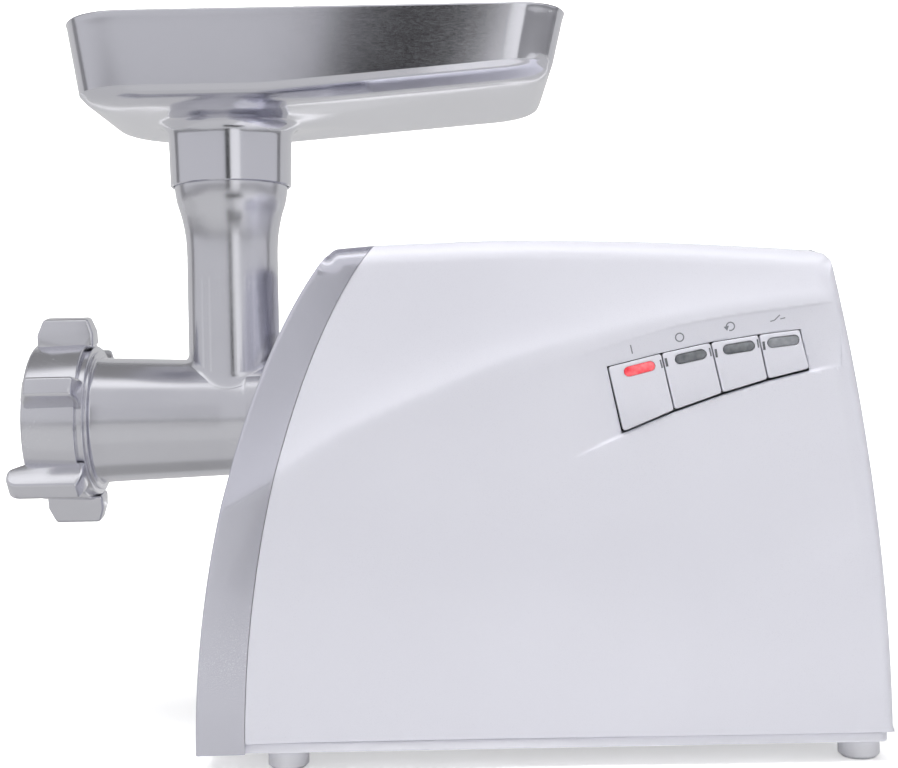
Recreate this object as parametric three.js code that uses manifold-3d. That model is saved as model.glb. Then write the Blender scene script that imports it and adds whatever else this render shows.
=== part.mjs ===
// Electric meat grinder: a motor housing on four feet, a die-cast grinding head with a feed tray on top,
// and a three-stage gear train that drives the auger.
// Millimetres. +Z is up, the head points to -X, and the control side of the housing faces -Y.
// The origin is on the surface that the feet stand on, under the middle of the whole machine.
import * as THREE from "three";
import Module from "manifold-3d";
import { mergeVertices } from "three/addons/utils/BufferGeometryUtils.js";

const wasm = await Module();
wasm.setup();

// ---------------------------------------------------------------- driving dimensions
const GAP = 0.3; // between pieces that touch
const FAR = 400; // longer than anything that is cut

const FOOT = { radius: 9.25, height: 8.8, xs: [-67.4, 190.2], y: 70 };
const BASE = { bottom: 8.8, top: 13.5, frontX: -104.1, rearX: 200.6, y: 82, corner: 10 };
const HOUSING = { halfWidth: 85, bottom: 13.8, fasciaBottom: 9, wall: 2.6, edge: 9 };
const HEAD = { z: 156.8, frontX: -191, rearX: -55, bore: 25.3, spigot: 29.6, driveRoom: 17 };
const NECK = { x: -98.7, outer: 22.5, bore: 19.5, rim: 28, top: 297 };
const COLLAR = { radius: 35.5, shoulder: 37.5, rearX: -169 };
const BAYONET = { lug: 34.2, lugX: [-69.6, -62.4], halfAngle: 14, twist: 35, gap: 0.5 };
const SOCKET = { radius: 41.7, pocket: 39.4, floorX: -75.5, rearX: -50, bore: 30.3 };
const NUT = { radius: 39.8, bore: 36.1, lip: 23.5, frontX: -195.8, rearX: -169.8 };
const LUG = { tip: 51.5, halfWidth: 8.6, angles: [80, 20, -100, -160, 140], long: -40 };
const PLATE = { radius: 26.9, frontX: -192.2, rearX: -187.2, hole: 2.35, key: 2 };
const PLATE_RINGS = [[6, 8.2], [11, 14], [16, 20]]; // how many holes, and how far out
const KNIFE = { frontX: -186.8, rearX: -182.6, reach: 24.4, hub: 9.5, square: 4.2 };
const PIN = { radius: 3.9, frontX: -192.6 };
const AUGER = { radius: 24.4, core: 10, rearX: -91.5, pitch: 31, journal: 9 };
const COUPLING = { radius: 12.5, frontX: -78, rearX: -52, square: 13.4, depth: 16, shank: 12.6 };
const TRAY = { top: 343.5, frontX: -168.8, rearX: 65.2, y: 71.5, wall: 1.8, collar: 28.4, throat: 24.4,
  seatZ: 297.4, floor: 302.4, riseX: -74, slope: 0.075 };

// The gear train. All its axes run along X; y and z are the places of its shafts.
const OUTPUT = { y: 0, z: HEAD.z };
const SECOND = { y: 0, z: HEAD.z - 45 };
const FIRST = { y: 30, z: HEAD.z - 67.5 };
const MOTOR = { y: 0, z: HEAD.z - 67.5 };
const STAGES = {
  one: { module: 1, pinion: 10, wheel: 50, x: -7.8, width: 10 },
  two: { module: 1.25, pinion: 12, wheel: 48, x: -21.8, width: 12 },
  three: { module: 1.5, pinion: 12, wheel: 48, x: -39.8, width: 16 },
};
const GEARBOX = { frontX: -49.6, rearX: 3.6, coverX: 7.6, y: [-44, 62], z: [55, 201] };
const STATOR = { frontX: 40, rearX: 85, halfY: 42, halfZ: 39, bore: 22.6 };
const GLAND = { y: 40, z: 36, radius: 8, bore: 3.6, frontX: 188, rearX: 202 };

// The four push buttons stand in a sloping row: the corners of the row, left to right, as [x, z].
const BUTTON_TOPS = [[78.5, 177.8], [102.4, 183.4], [124.3, 187.8], [145.6, 190.8], [164, 192.8]];
const BUTTON_FEET = [[84.9, 148.7], [107.8, 157.9], [129.2, 165.1], [149.5, 170.9], [168, 175.2]];
const BUTTON_NAMES = ["start", "stop", "reverse", "reset"];
const BUTTON = { front: -84.2, rear: -79.6, plunger: -77.4, travel: 2.4, joint: 0.45 };
const LENS = { length: 14, height: 4.4, drop: 4.6 };
const RELEASE = { y: 58, z: 166, radius: 8, gap: 0.4 };

// ---------------------------------------------------------------- materials
const finish = (color, roughness, metalness) =>
  new THREE.MeshStandardMaterial({ color, roughness, metalness });
const white = () => finish(0xe4e4ee, 0.32, 0);
const silver = () => finish(0xb3b3bf, 0.3, 0.7);
const cast = () => finish(0xb4b5bd, 0.4, 0.85);
const steel = () => finish(0xa9adb3, 0.3, 1);
const darkSteel = () => finish(0x55585e, 0.45, 0.9);
const copper = () => finish(0xb4652f, 0.4, 0.9);
const brass = () => finish(0xc9a14a, 0.35, 0.9);
const rubber = () => finish(0xd6d6da, 0.8, 0);
const nylon = () => finish(0xdedbcf, 0.55, 0);
const blackPlastic = () => finish(0x26272a, 0.5, 0);
const greyPlastic = () => finish(0x8d9096, 0.5, 0);
const redLens = () => finish(0xe0303a, 0.15, 0);
const darkLens = () => finish(0x5c6065, 0.15, 0);

// ---------------------------------------------------------------- solids
function solid(geometry) {
  const bare = geometry.clone();
  bare.deleteAttribute("normal");
  bare.deleteAttribute("uv");
  const merged = mergeVertices(bare, 1e-4);
  const corners = new Uint32Array(merged.index.array);
  const places = new Float32Array(merged.attributes.position.array);
  const make = () => new wasm.Manifold(
    new wasm.Mesh({ numProp: 3, vertProperties: places, triVerts: corners }));
  const made = make();
  if (made.volume() > 0) return made;
  for (let i = 0; i < corners.length; i += 3)
    [corners[i + 1], corners[i + 2]] = [corners[i + 2], corners[i + 1]];
  return make();
}

const machine = new THREE.Group();

function add(name, shape, material) {
  const { vertProperties, triVerts } = shape.getMesh();
  const geometry = new THREE.BufferGeometry();
  geometry.setAttribute("position", new THREE.BufferAttribute(vertProperties, 3));
  geometry.setIndex(new THREE.BufferAttribute(triVerts, 1));
  const mesh = new THREE.Mesh(geometry, material);
  mesh.name = name;
  machine.add(mesh);
}

const join = (...shapes) => shapes.reduce((a, b) => a.add(b));
const cut = (shape, ...tools) => tools.reduce((a, b) => a.subtract(b), shape);

// A box between two corners.
function box([x0, x1], [y0, y1], [z0, z1]) {
  const geometry = new THREE.BoxGeometry(x1 - x0, y1 - y0, z1 - z0);
  return solid(geometry.translate((x0 + x1) / 2, (y0 + y1) / 2, (z0 + z1) / 2));
}

// The basis that lays a drawing's plane across the X axis, so that its depth runs along +X.
const ACROSS_X = new THREE.Matrix4().makeBasis(
  new THREE.Vector3(0, 1, 0), new THREE.Vector3(0, 0, 1), new THREE.Vector3(1, 0, 0));

const points2 = (list) => list.map(([a, b]) => new THREE.Vector2(a, b));

// An outline of [y, z] points, extruded from x0 to x1.
function slabX(outline, x0, x1) {
  const shape = new THREE.Shape(points2(outline));
  const geometry = new THREE.ExtrudeGeometry(shape, { depth: x1 - x0, bevelEnabled: false });
  return solid(geometry.applyMatrix4(ACROSS_X).translate(x0, 0, 0));
}

// An outline of [x, z] points, extruded from y0 to y1.
function slabY(outline, y0, y1) {
  const shape = new THREE.Shape(points2(outline));
  const geometry = new THREE.ExtrudeGeometry(shape, { depth: y1 - y0, bevelEnabled: false });
  return solid(geometry.rotateX(Math.PI / 2).translate(0, y1, 0));
}

// An outline of [x, y] points, extruded from z0 to z1.
function slabZ(outline, z0, z1) {
  const shape = new THREE.Shape(points2(outline));
  const geometry = new THREE.ExtrudeGeometry(shape, { depth: z1 - z0, bevelEnabled: false });
  return solid(geometry.translate(0, 0, z0));
}

// A profile of [radius, x] points turned about an axis along X, through y and z.
function turnedX(profile, { y, z }, sides = 32) {
  const geometry = new THREE.LatheGeometry(points2(profile), sides);
  return solid(geometry.rotateZ(-Math.PI / 2).translate(0, y, z));
}

// A profile of [radius, z] points turned about an upright axis through x and y.
function turnedZ(profile, x, y, sides = 32) {
  const geometry = new THREE.LatheGeometry(points2(profile), sides);
  return solid(geometry.rotateX(Math.PI / 2).translate(x, y, 0));
}

const rodX = (radius, x0, x1, axis, sides) =>
  turnedX([[0, x0], [radius, x0], [radius, x1], [0, x1]], axis, sides);
const rodZ = (radius, z0, z1, x, y, sides) =>
  turnedZ([[0, z0], [radius, z0], [radius, z1], [0, z1]], x, y, sides);
const pipeX = (outer, inner, x0, x1, axis, sides) =>
  turnedX([[inner, x0], [outer, x0], [outer, x1], [inner, x1], [inner, x0]], axis, sides);

// A rod along Y from y0 to y1.
function rodY(radius, y0, y1, x, z, sides = 20) {
  const geometry = new THREE.CylinderGeometry(radius, radius, y1 - y0, sides);
  return solid(geometry.translate(x, (y0 + y1) / 2, z));
}

const radians = (degrees) => (degrees * Math.PI) / 180;
const HEAD_AXIS = { y: 0, z: HEAD.z };

// A piece about the head axis between two radii and two x values, centred on an angle.
// The angle is measured from -Y, and grows upwards.
function sector(inner, outer, x0, x1, angle, halfAngle) {
  const count = 3;
  const outline = [];
  const place = (radius, degrees) => [
    -radius * Math.cos(radians(degrees)), HEAD.z + radius * Math.sin(radians(degrees))];
  for (let i = 0; i <= count; i++)
    outline.push(place(outer, angle - halfAngle + (2 * halfAngle * i) / count));
  for (let i = count; i >= 0; i--)
    outline.push(place(inner, angle - halfAngle + (2 * halfAngle * i) / count));
  return slabX(outline, x0, x1);
}

// ---------------------------------------------------------------- housing outline
const curve = (...corners) => new THREE.CubicBezierCurve(...points2(corners));
const FRONT = curve([-107.1, 9], [-107.1, 95], [-81.8, 187], [-43.2, 233]);
const SEAM = curve([-85.1, 9], [-85.1, 95], [-61.8, 187], [-24, 236.5]);
const REAR = curve([179.2, 227], [192.2, 165], [202.7, 90], [202.7, 14]);
const TOP = new THREE.SplineCurve(points2([
  [-26, 234.5], [0, 235.3], [40.8, 235.8], [101.2, 233.8], [150.7, 230.6], [165, 229.6]]));

// The side view of the housing, from its bottom front corner over the top to its bottom rear corner.
function sideView(lowest) {
  const walk = [...FRONT.getPoints(8), ...TOP.getPoints(6), ...REAR.getPoints(5)];
  const [first, last] = [walk[0], walk[walk.length - 1]];
  return [[first.x, lowest], ...walk.map((p) => [p.x, p.y]), [last.x, lowest]];
}

// An outline with each corner moved inwards by a distance.
function drawnIn(outline, distance) {
  const count = outline.length;
  return outline.map(([x, z], i) => {
    const [before, after] = [outline[(i + count - 1) % count], outline[(i + 1) % count]];
    const [a, b] = [[x - before[0], z - before[1]], [after[0] - x, after[1] - z]].map(
      ([u, v]) => new THREE.Vector2(v, -u).normalize());
    const middle = a.clone().add(b).normalize();
    const reach = distance / Math.max(middle.dot(a), 0.3);
    return [x + middle.x * reach, z + middle.y * reach];
  });
}

// A solid of the side view, drawn in by an inset, with its side edges rounded. It runs on below the base.
function housingSolid(inset) {
  const half = HOUSING.halfWidth - inset;
  const steps = 3;
  const section = [];
  for (let i = 0; i <= steps; i++) {
    const angle = (Math.PI / 2) * (i / steps);
    section.push([HOUSING.edge * (1 - Math.sin(angle)), half - HOUSING.edge * (1 - Math.cos(angle))]);
  }
  const walk = [...section.map(([d, y]) => [d, -y]), ...section.reverse()];
  const outline = sideView(-40);
  return loft(walk.map(([d, y]) => drawnIn(outline, d + inset).map(([x, z]) => [x, y, z])));
}

const below = (z) => box([-FAR, FAR], [-FAR, FAR], [-FAR, z]);

const housingOuter = housingSolid(0);
const housingInner = housingSolid(HOUSING.wall);

// Everything in front of the seam between the front fascia and the side shells, moved along X.
function aheadOfSeam(shift) {
  const walk = SEAM.getPoints(8).map((p) => [p.x + shift, p.y]);
  const top = walk[walk.length - 1];
  return slabY([[-FAR, -5], [walk[0][0], -5], ...walk, [top[0] + 8, FAR], [-FAR, FAR]], -FAR, FAR);
}

// ---------------------------------------------------------------- housing, fascia, base and feet
const BOSSES = [-48, 168];
const bossY = HOUSING.halfWidth - 9;
const SCREW = { hole: 2.1, shank: 1.8, head: 4, headHeight: 2, length: 11 };

// The outline of the buttons from one to another in the row, as [x, z].
const buttonRow = (from, to) => [
  ...BUTTON_FEET.slice(from, to + 1), ...BUTTON_TOPS.slice(from, to + 1).reverse()];

// A shallow recess in the side of the housing, a little larger than the row of buttons.
function recess(depth, around) {
  const left = Math.min(...buttonRow(0, 4).map(([x]) => x)) - around;
  const right = Math.max(...buttonRow(0, 4).map(([x]) => x)) + around;
  const widened = (line, shift) => line.map(([x, z], i) => [i === 0 ? left : i === 4 ? right : x, z + shift]);
  return slabY([...widened(BUTTON_FEET, -around), ...widened(BUTTON_TOPS, around).reverse()],
    -FAR, -HOUSING.halfWidth + depth);
}

function buttonOutline(index) {
  const { joint } = BUTTON;
  const [a, b, c, d] = buttonRow(index, index + 1);
  return [[a[0] + joint, a[1] + joint], [b[0] - joint, b[1] + joint],
    [c[0] - joint, c[1] - joint], [d[0] + joint, d[1] - joint]];
}

function addHousing() {
  const shell = cut(housingOuter, housingInner, aheadOfSeam(GAP), below(HOUSING.bottom));
  const sides = [["housing_control_side", -1], ["housing_far_side", 1]];
  for (const [name, side] of sides) {
    const middle = side < 0 ? [-GAP / 2, FAR] : [-FAR, GAP / 2];
    let half = shell.subtract(box([-FAR, FAR], middle, [-FAR, FAR]));
    for (const x of BOSSES) {
      const y = [bossY - 5, HOUSING.halfWidth - 1].map((v) => side * v).sort((a, b) => a - b);
      const boss = box([x - 5, x + 5], y, [HOUSING.bottom, HOUSING.bottom + 16]);
      half = half.add(boss).subtract(rodZ(SCREW.hole, 0, HOUSING.bottom + 12, x, side * bossY, 8));
    }
    if (side < 0) half = cut(half, recess(1, 3), slabY(buttonRow(0, 4), -FAR, -70));
    else half = half.subtract(rodX(GLAND.radius + GAP, GLAND.frontX, FAR, GLAND, 14));
    add(name, half, white());
  }

  const fascia = cut(housingOuter, housingInner, below(HOUSING.fasciaBottom)).intersect(aheadOfSeam(0));
  const socketHole = rodX(SOCKET.radius + GAP, -FAR, -40, HEAD_AXIS, 30);
  const releaseHole = rodX(RELEASE.radius + RELEASE.gap, -FAR, -60, RELEASE, 20);
  add("front_fascia", cut(fascia, socketHole, releaseHole), silver());

  const stud = 4; // the neck of a foot, pressed into the base plate
  const basePlan = roundedRectangle([BASE.frontX, BASE.rearX], [-BASE.y, BASE.y], BASE.corner);
  let base = slabZ(basePlan, BASE.bottom, BASE.top);
  for (const side of [-1, 1]) {
    for (const x of BOSSES) {
      const y = side * bossY;
      base = cut(base, rodZ(SCREW.shank + 0.5, 0, FAR, x, y, 8),
        rodZ(SCREW.head + 0.6, 0, BASE.bottom + SCREW.headHeight + 0.4, x, y, 8));
    }
    for (const x of FOOT.xs) base = base.subtract(rodZ(stud + 0.5, 0, FAR, x, side * FOOT.y, 8));
  }
  const airSlots = { count: 6, firstX: 40, step: 11, width: 5, halfY: 34 };
  for (let i = 0; i < airSlots.count; i++) {
    const x = airSlots.firstX + airSlots.step * i;
    base = base.subtract(box([x, x + airSlots.width], [-airSlots.halfY, airSlots.halfY], [0, FAR]));
  }
  add("base_plate", base, greyPlastic());

  const foot = [[0, 0], [7.6, 0], [FOOT.radius, 1.4], [FOOT.radius, FOOT.height - GAP],
    [stud, FOOT.height - GAP], [stud, BASE.top + 1.5], [0, BASE.top + 1.5]];
  const screwTop = HOUSING.bottom + SCREW.length;
  const screw = [[0, BASE.bottom + GAP], [SCREW.head, BASE.bottom + GAP],
    [SCREW.head, BASE.bottom + SCREW.headHeight], [SCREW.shank, BASE.bottom + SCREW.headHeight],
    [SCREW.shank, screwTop], [0, screwTop]];
  for (const [sideName, side] of [["control", -1], ["far", 1]]) {
    FOOT.xs.forEach((x, i) => add(
      `foot_${["front", "rear"][i]}_${sideName}`, turnedZ(foot, x, side * FOOT.y, 14), rubber()));
    BOSSES.forEach((x, i) => add(
      `base_screw_${["front", "rear"][i]}_${sideName}`,
      turnedZ(screw, x, side * bossY, 8), steel()));
  }

  const { bore, radius, frontX, rearX } = GLAND;
  const gland = [[bore, frontX], [radius, frontX], [radius, rearX], [bore + 1.6, rearX],
    [bore, rearX - 1.6], [bore, frontX]];
  add("cord_gland", turnedX(gland, GLAND, 14), blackPlastic());
}

const LUG_ANGLES = [90, 210, 330]; // the head's bayonet lugs

// The round socket that takes the head: a cup in the fascia with a bayonet groove in its throat.
function addSocket() {
  const groove = BAYONET.lug + BAYONET.gap;
  let socket = rodX(SOCKET.radius, -120, SOCKET.rearX, HEAD_AXIS, 30).intersect(housingOuter);
  socket = cut(socket,
    rodX(SOCKET.pocket, -FAR, SOCKET.floorX, HEAD_AXIS, 30),
    rodX(SOCKET.bore, -FAR, FAR, HEAD_AXIS, 30),
    rodX(groove, BAYONET.lugX[0] - BAYONET.gap, BAYONET.lugX[1] + BAYONET.gap, HEAD_AXIS, 30));
  for (const angle of LUG_ANGLES) {
    const slot = sector(20, groove, -FAR, -68, angle - BAYONET.twist, BAYONET.halfAngle + 3);
    socket = socket.subtract(slot);
  }
  const latchSlot = box([-63, FAR], [30.5, 46], [HEAD.z - 4, HEAD.z + 14]);
  add("head_socket", socket.subtract(latchSlot), cast());
}

// ---------------------------------------------------------------- gears
// The outline of an involute gear, with its first tooth turned to an angle in degrees.
function gearOutline(teeth, module, { y, z }, turn) {
  const thinner = 0.84; // thin teeth leave running clearance
  const pressure = radians(20);
  const pitch = (teeth * module) / 2;
  const base = pitch * Math.cos(pressure);
  const involute = (angle) => Math.tan(angle) - angle;
  const halfTooth = (radius) => (Math.PI * thinner) / (2 * teeth) + involute(pressure)
    - involute(Math.acos(base / Math.max(radius, base)));
  const [root, tip] = [pitch - 1.1 * module, pitch + 0.8 * module];
  const radii = teeth < 20 ? [root, pitch, tip] : [root, tip];
  const outline = [];
  for (let tooth = 0; tooth < teeth; tooth++) {
    const middle = radians(turn) + (2 * Math.PI * tooth) / teeth;
    const flank = radii.map((radius) => [radius, middle - halfTooth(radius)]);
    const back = radii.map((radius) => [radius, middle + halfTooth(radius)]).reverse();
    for (const [radius, angle] of [...flank, ...back])
      outline.push([y + radius * Math.cos(angle), z + radius * Math.sin(angle)]);
  }
  return outline;
}

const bearing = (angle) => (angle * 180) / Math.PI;

// Turns a pair of gears so that a tooth of the pinion points into a gap of the wheel.
function meshing(pinionAxis, wheelAxis, stage) {
  const towards = bearing(Math.atan2(wheelAxis.z - pinionAxis.z, wheelAxis.y - pinionAxis.y));
  return { pinionTurn: towards, wheelTurn: towards + 180 + 180 / stage.wheel };
}

function addGears() {
  const { one, two, three } = STAGES;
  const first = meshing(MOTOR, FIRST, one);
  const second = meshing(FIRST, SECOND, two);
  const third = meshing(SECOND, OUTPUT, three);
  const gear = (teeth, stage, axis, turn, hole, shorter = 0) => slabX(
    gearOutline(teeth, stage.module, axis, turn), stage.x + shorter, stage.x + stage.width - shorter)
    .subtract(rodX(hole, -FAR, FAR, axis, 16));

  const pinion = slabX(gearOutline(one.pinion, one.module, MOTOR, first.pinionTurn), one.x, 3);
  add("motor_pinion", pinion.subtract(rodX(2.4, -FAR, FAR, MOTOR, 10)), steel());

  const lighten = (shape, axis, radius, hole) => [0, 1, 2, 3, 4].reduce((kept, i) => {
    const angle = radians(72 * i);
    const place = { y: axis.y + radius * Math.cos(angle), z: axis.z + radius * Math.sin(angle) };
    return kept.subtract(rodX(hole, -FAR, FAR, place, 8));
  }, shape);
  add("first_gear", lighten(gear(one.wheel, one, FIRST, first.wheelTurn, 9.6, 0.5), FIRST, 16, 4),
    nylon());
  add("second_gear", lighten(gear(two.wheel, two, SECOND, second.wheelTurn, 12, 0.5), SECOND, 20, 5),
    nylon());
  add("output_gear", lighten(gear(three.wheel, three, OUTPUT, third.wheelTurn, 10.3, 0.5), OUTPUT,
    22, 6.5), steel());

  // Each shaft is one piece with its pinion and with the hub that its wheel sits on.
  const walls = [-45, 3.4];
  add("first_pinion_shaft", join(
    rodX(4, walls[0], walls[1], FIRST, 12),
    slabX(gearOutline(two.pinion, two.module, FIRST, second.pinionTurn), two.x, one.x - 0.5),
    rodX(9.3, one.x - 0.6, one.x + one.width - 0.2, FIRST, 16)), steel());
  add("second_pinion_shaft", join(
    rodX(5, walls[0], walls[1], SECOND, 12),
    slabX(gearOutline(three.pinion, three.module, SECOND, third.pinionTurn), three.x, two.x - 0.5),
    rodX(11.7, two.x - 0.6, two.x + two.width - 0.2, SECOND, 16)), steel());
}

// The output shaft ends in the square socket that turns the auger.
function addCoupling() {
  const { radius, frontX, rearX, square } = COUPLING;
  const half = square / 2;
  const shape = join(
    rodX(radius, frontX, rearX, OUTPUT, 20),
    rodX(10, rearX - 1, 3.4, OUTPUT, 18));
  const socket = slabX([[-half, HEAD.z - half], [half, HEAD.z - half], [half, HEAD.z + half],
    [-half, HEAD.z + half]], frontX - 1, frontX + COUPLING.depth);
  add("drive_coupling", shape.subtract(socket), steel());
}

function roundedRectangle([y0, y1], [z0, z1], corner, steps = 4) {
  const outline = [];
  const centres = [[y1 - corner, z0 + corner, -90], [y1 - corner, z1 - corner, 0],
    [y0 + corner, z1 - corner, 90], [y0 + corner, z0 + corner, 180]];
  for (const [y, z, start] of centres)
    for (let i = 0; i <= steps; i++) {
      const angle = radians(start + (90 * i) / steps);
      outline.push([y + corner * Math.cos(angle), z + corner * Math.sin(angle)]);
    }
  return outline;
}

function addGearbox() {
  const { frontX, rearX, coverX, y, z } = GEARBOX;
  const wall = 3;
  const inside = roundedRectangle([y[0] + wall, y[1] - wall], [z[0] + wall, z[1] - wall], 10);
  let gearcase = slabX(roundedRectangle(y, z, 13), frontX, rearX)
    .subtract(slabX(inside, frontX + 3.6, FAR));
  for (const side of [-1, 1])
    gearcase = gearcase.add(box([frontX, frontX + 26],
      side < 0 ? [-40, -34] : [44, 50], [BASE.top + GAP, z[0] + 5]));
  const bushHole = rodX(14.4, -FAR, FAR, OUTPUT, 20);
  const seats = [rodX(4.3, -46.6, FAR, FIRST, 12), rodX(5.3, -46.6, FAR, SECOND, 12)];
  add("gearbox_case", cut(gearcase, bushHole, ...seats), cast());

  const seatDepth = rearX + 1.6;
  const cover = slabX(roundedRectangle(y, z, 13), rearX + GAP, coverX);
  const pockets = [rodX(4.4, 0, seatDepth, FIRST, 12), rodX(5.4, 0, seatDepth, SECOND, 12),
    rodX(10.4, 0, seatDepth, OUTPUT, 18), rodX(7, -FAR, FAR, MOTOR, 16)];
  add("gearbox_cover", cut(cover, ...pockets), cast());
  add("output_bush", pipeX(14.1, 10.3, frontX, frontX + 8, OUTPUT, 20), brass());
}

// ---------------------------------------------------------------- motor
function addMotor() {
  const { frontX, rearX, halfY, halfZ, bore } = STATOR;
  add("rotor_shaft", join(rodX(2.1, -7.6, 9, MOTOR, 10), rodX(4, 8, 114, MOTOR, 12),
    rodX(3, 113, 119, MOTOR, 10)), steel());

  let core = pipeX(bore - 0.7, 4.3, frontX, rearX, MOTOR, 16);
  const slots = { count: 8, radius: 20.8, width: 3.2 };
  for (let i = 0; i < slots.count; i++) {
    const angle = radians((360 * i) / slots.count);
    const [y, z] = [slots.radius * Math.cos(angle), slots.radius * Math.sin(angle)];
    const place = { y: MOTOR.y + y, z: MOTOR.z + z };
    core = core.subtract(rodX(slots.width / 2, -FAR, FAR, place, 6));
  }
  add("rotor_core", core, darkSteel());
  const winding = (x) => pipeX(18.5, 5.5, x, x + 6.4, MOTOR, 16);
  add("armature_winding_front", winding(frontX - 6.8), copper());
  add("armature_winding_rear", winding(rearX + 0.4), copper());
  add("commutator", pipeX(12, 4.3, 96, 110, MOTOR, 16), copper());

  let fan = join(pipeX(10, 4.3, 17, 31, MOTOR, 16), pipeX(34, 9, 17, 19, MOTOR, 16));
  for (let i = 0; i < 9; i++) {
    const blade = box([18.5, 30], [9, 33], [-0.9, 0.9]).rotate([i * 40, 0, 0]);
    fan = fan.add(blade.translate([0, MOTOR.y, MOTOR.z]));
  }
  add("cooling_fan", fan, nylon());

  const outline = roundedRectangle([-halfY, halfY], [MOTOR.z - halfZ, MOTOR.z + halfZ], 12);
  let stator = slabX(outline, frontX, rearX).subtract(rodX(bore, -FAR, FAR, MOTOR, 16));
  for (const side of [-1, 1]) {
    const z = [23, 31.6].map((v) => MOTOR.z + side * v).sort((a, b) => a - b);
    for (const y of [[-26, -17], [17, 26]])
      stator = stator.subtract(box([-FAR, FAR], y, [z[0] - GAP, z[1] + GAP]));
    const coil = box([frontX - 7, rearX + 7], [-25.7, 25.7], z).subtract(
      box([frontX - GAP, rearX + GAP], [-17.3, 17.3], [-FAR, FAR]));
    add(side < 0 ? "field_coil_lower" : "field_coil_upper", coil, copper());
  }
  add("motor_stator", stator, darkSteel());

  // Each bracket is a bridge on two legs that holds a bearing of the shaft.
  const bracket = (x0, x1, hole) => join(
    slabX(roundedRectangle([-30, 30], [MOTOR.z - 14, MOTOR.z + 14], 8), x0, x1),
    box([x0, x1], [-30, -22], [BASE.top + GAP, MOTOR.z]),
    box([x0, x1], [22, 30], [BASE.top + GAP, MOTOR.z])).subtract(rodX(hole, -FAR, FAR, MOTOR, 16));
  add("motor_bracket_front", bracket(8, 12.4, 9.3), cast());
  add("motor_bracket_rear", bracket(113.6, 119.4, 8.3), cast());
  add("bearing_front", pipeX(9, 4.3, 8.2, 12.4, MOTOR, 16), steel());
  add("bearing_rear", pipeX(8, 3.3, 114.2, 119.2, MOTOR, 16), steel());
  for (const [name, side] of [["control", -1], ["far", 1]]) {
    const span = (a, b) => [side * a, side * b].sort((m, n) => m - n);
    const channel = box([99.6, 106.4], span(0, 33), [MOTOR.z - 4.4, MOTOR.z + 4.4]);
    const holder = box([97, 113.3], span(14, 36), [MOTOR.z - 7, MOTOR.z + 7]);
    add(`brush_holder_${name}`, holder.subtract(channel), brass());
    add(`carbon_brush_${name}`,
      box([100, 106], span(12.4, 26), [MOTOR.z - 4, MOTOR.z + 4]), blackPlastic());
  }
}

// ---------------------------------------------------------------- grinding head
function addHead() {
  const body = [[0, HEAD.frontX], [COLLAR.radius - 1, HEAD.frontX], [COLLAR.radius, HEAD.frontX + 1],
    [COLLAR.radius, COLLAR.rearX], [COLLAR.shoulder, -168.2], [COLLAR.shoulder, -165.6],
    [32.4, -161.5], [30.5, -154],
    [28.7, -103], [28.7, -92], [HEAD.spigot, -90], [HEAD.spigot, HEAD.rearX], [0, HEAD.rearX]];
  const neck = [[0, HEAD.z], [NECK.outer, HEAD.z], [NECK.outer, 242], [23.6, 254], [26.4, 266],
    [NECK.rim, 271.5], [NECK.rim, NECK.top], [0, NECK.top]];
  const skirt = [[0, HEAD.z], [28, HEAD.z], [26.4, 180], [24, 186], [NECK.outer, 193], [0, 193]];
  const insideBarrel = rodX(60, -160, -77, HEAD_AXIS, 12);
  let head = join(turnedX(body, HEAD_AXIS, 30), turnedZ(neck, NECK.x, 0, 28),
    turnedZ(skirt, NECK.x, 0, 28).intersect(insideBarrel));
  head = cut(head,
    rodX(HEAD.bore, -FAR, AUGER.rearX + 0.6, HEAD_AXIS, 30), // the bore that the auger turns in
    rodX(PLATE.radius + 0.4, -FAR, PLATE.rearX + GAP, HEAD_AXIS, 30), // the seat of the cutting plate
    rodX(AUGER.journal + 0.4, -FAR, FAR, HEAD_AXIS, 18),
    rodX(HEAD.driveRoom, -83, FAR, HEAD_AXIS, 20), // room for the drive coupling
    turnedZ([[0, HEAD.z], [NECK.bore, HEAD.z], [NECK.bore, 244], [24.5, 266], [24.5, FAR], [0, FAR]],
      NECK.x - 1.2, 0, 22));
  for (const angle of LUG_ANGLES) {
    const lug = sector(HEAD.spigot - 1, BAYONET.lug, ...BAYONET.lugX, angle, BAYONET.halfAngle);
    head = head.add(lug);
  }
  const keyway = PLATE.key + 0.4;
  const slot = box([-FAR, PLATE.rearX], [-keyway, keyway], [HEAD.z - PLATE.radius - 2.5, HEAD.z - 22]);
  add("grinder_head", head.subtract(slot), cast());
}

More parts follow.
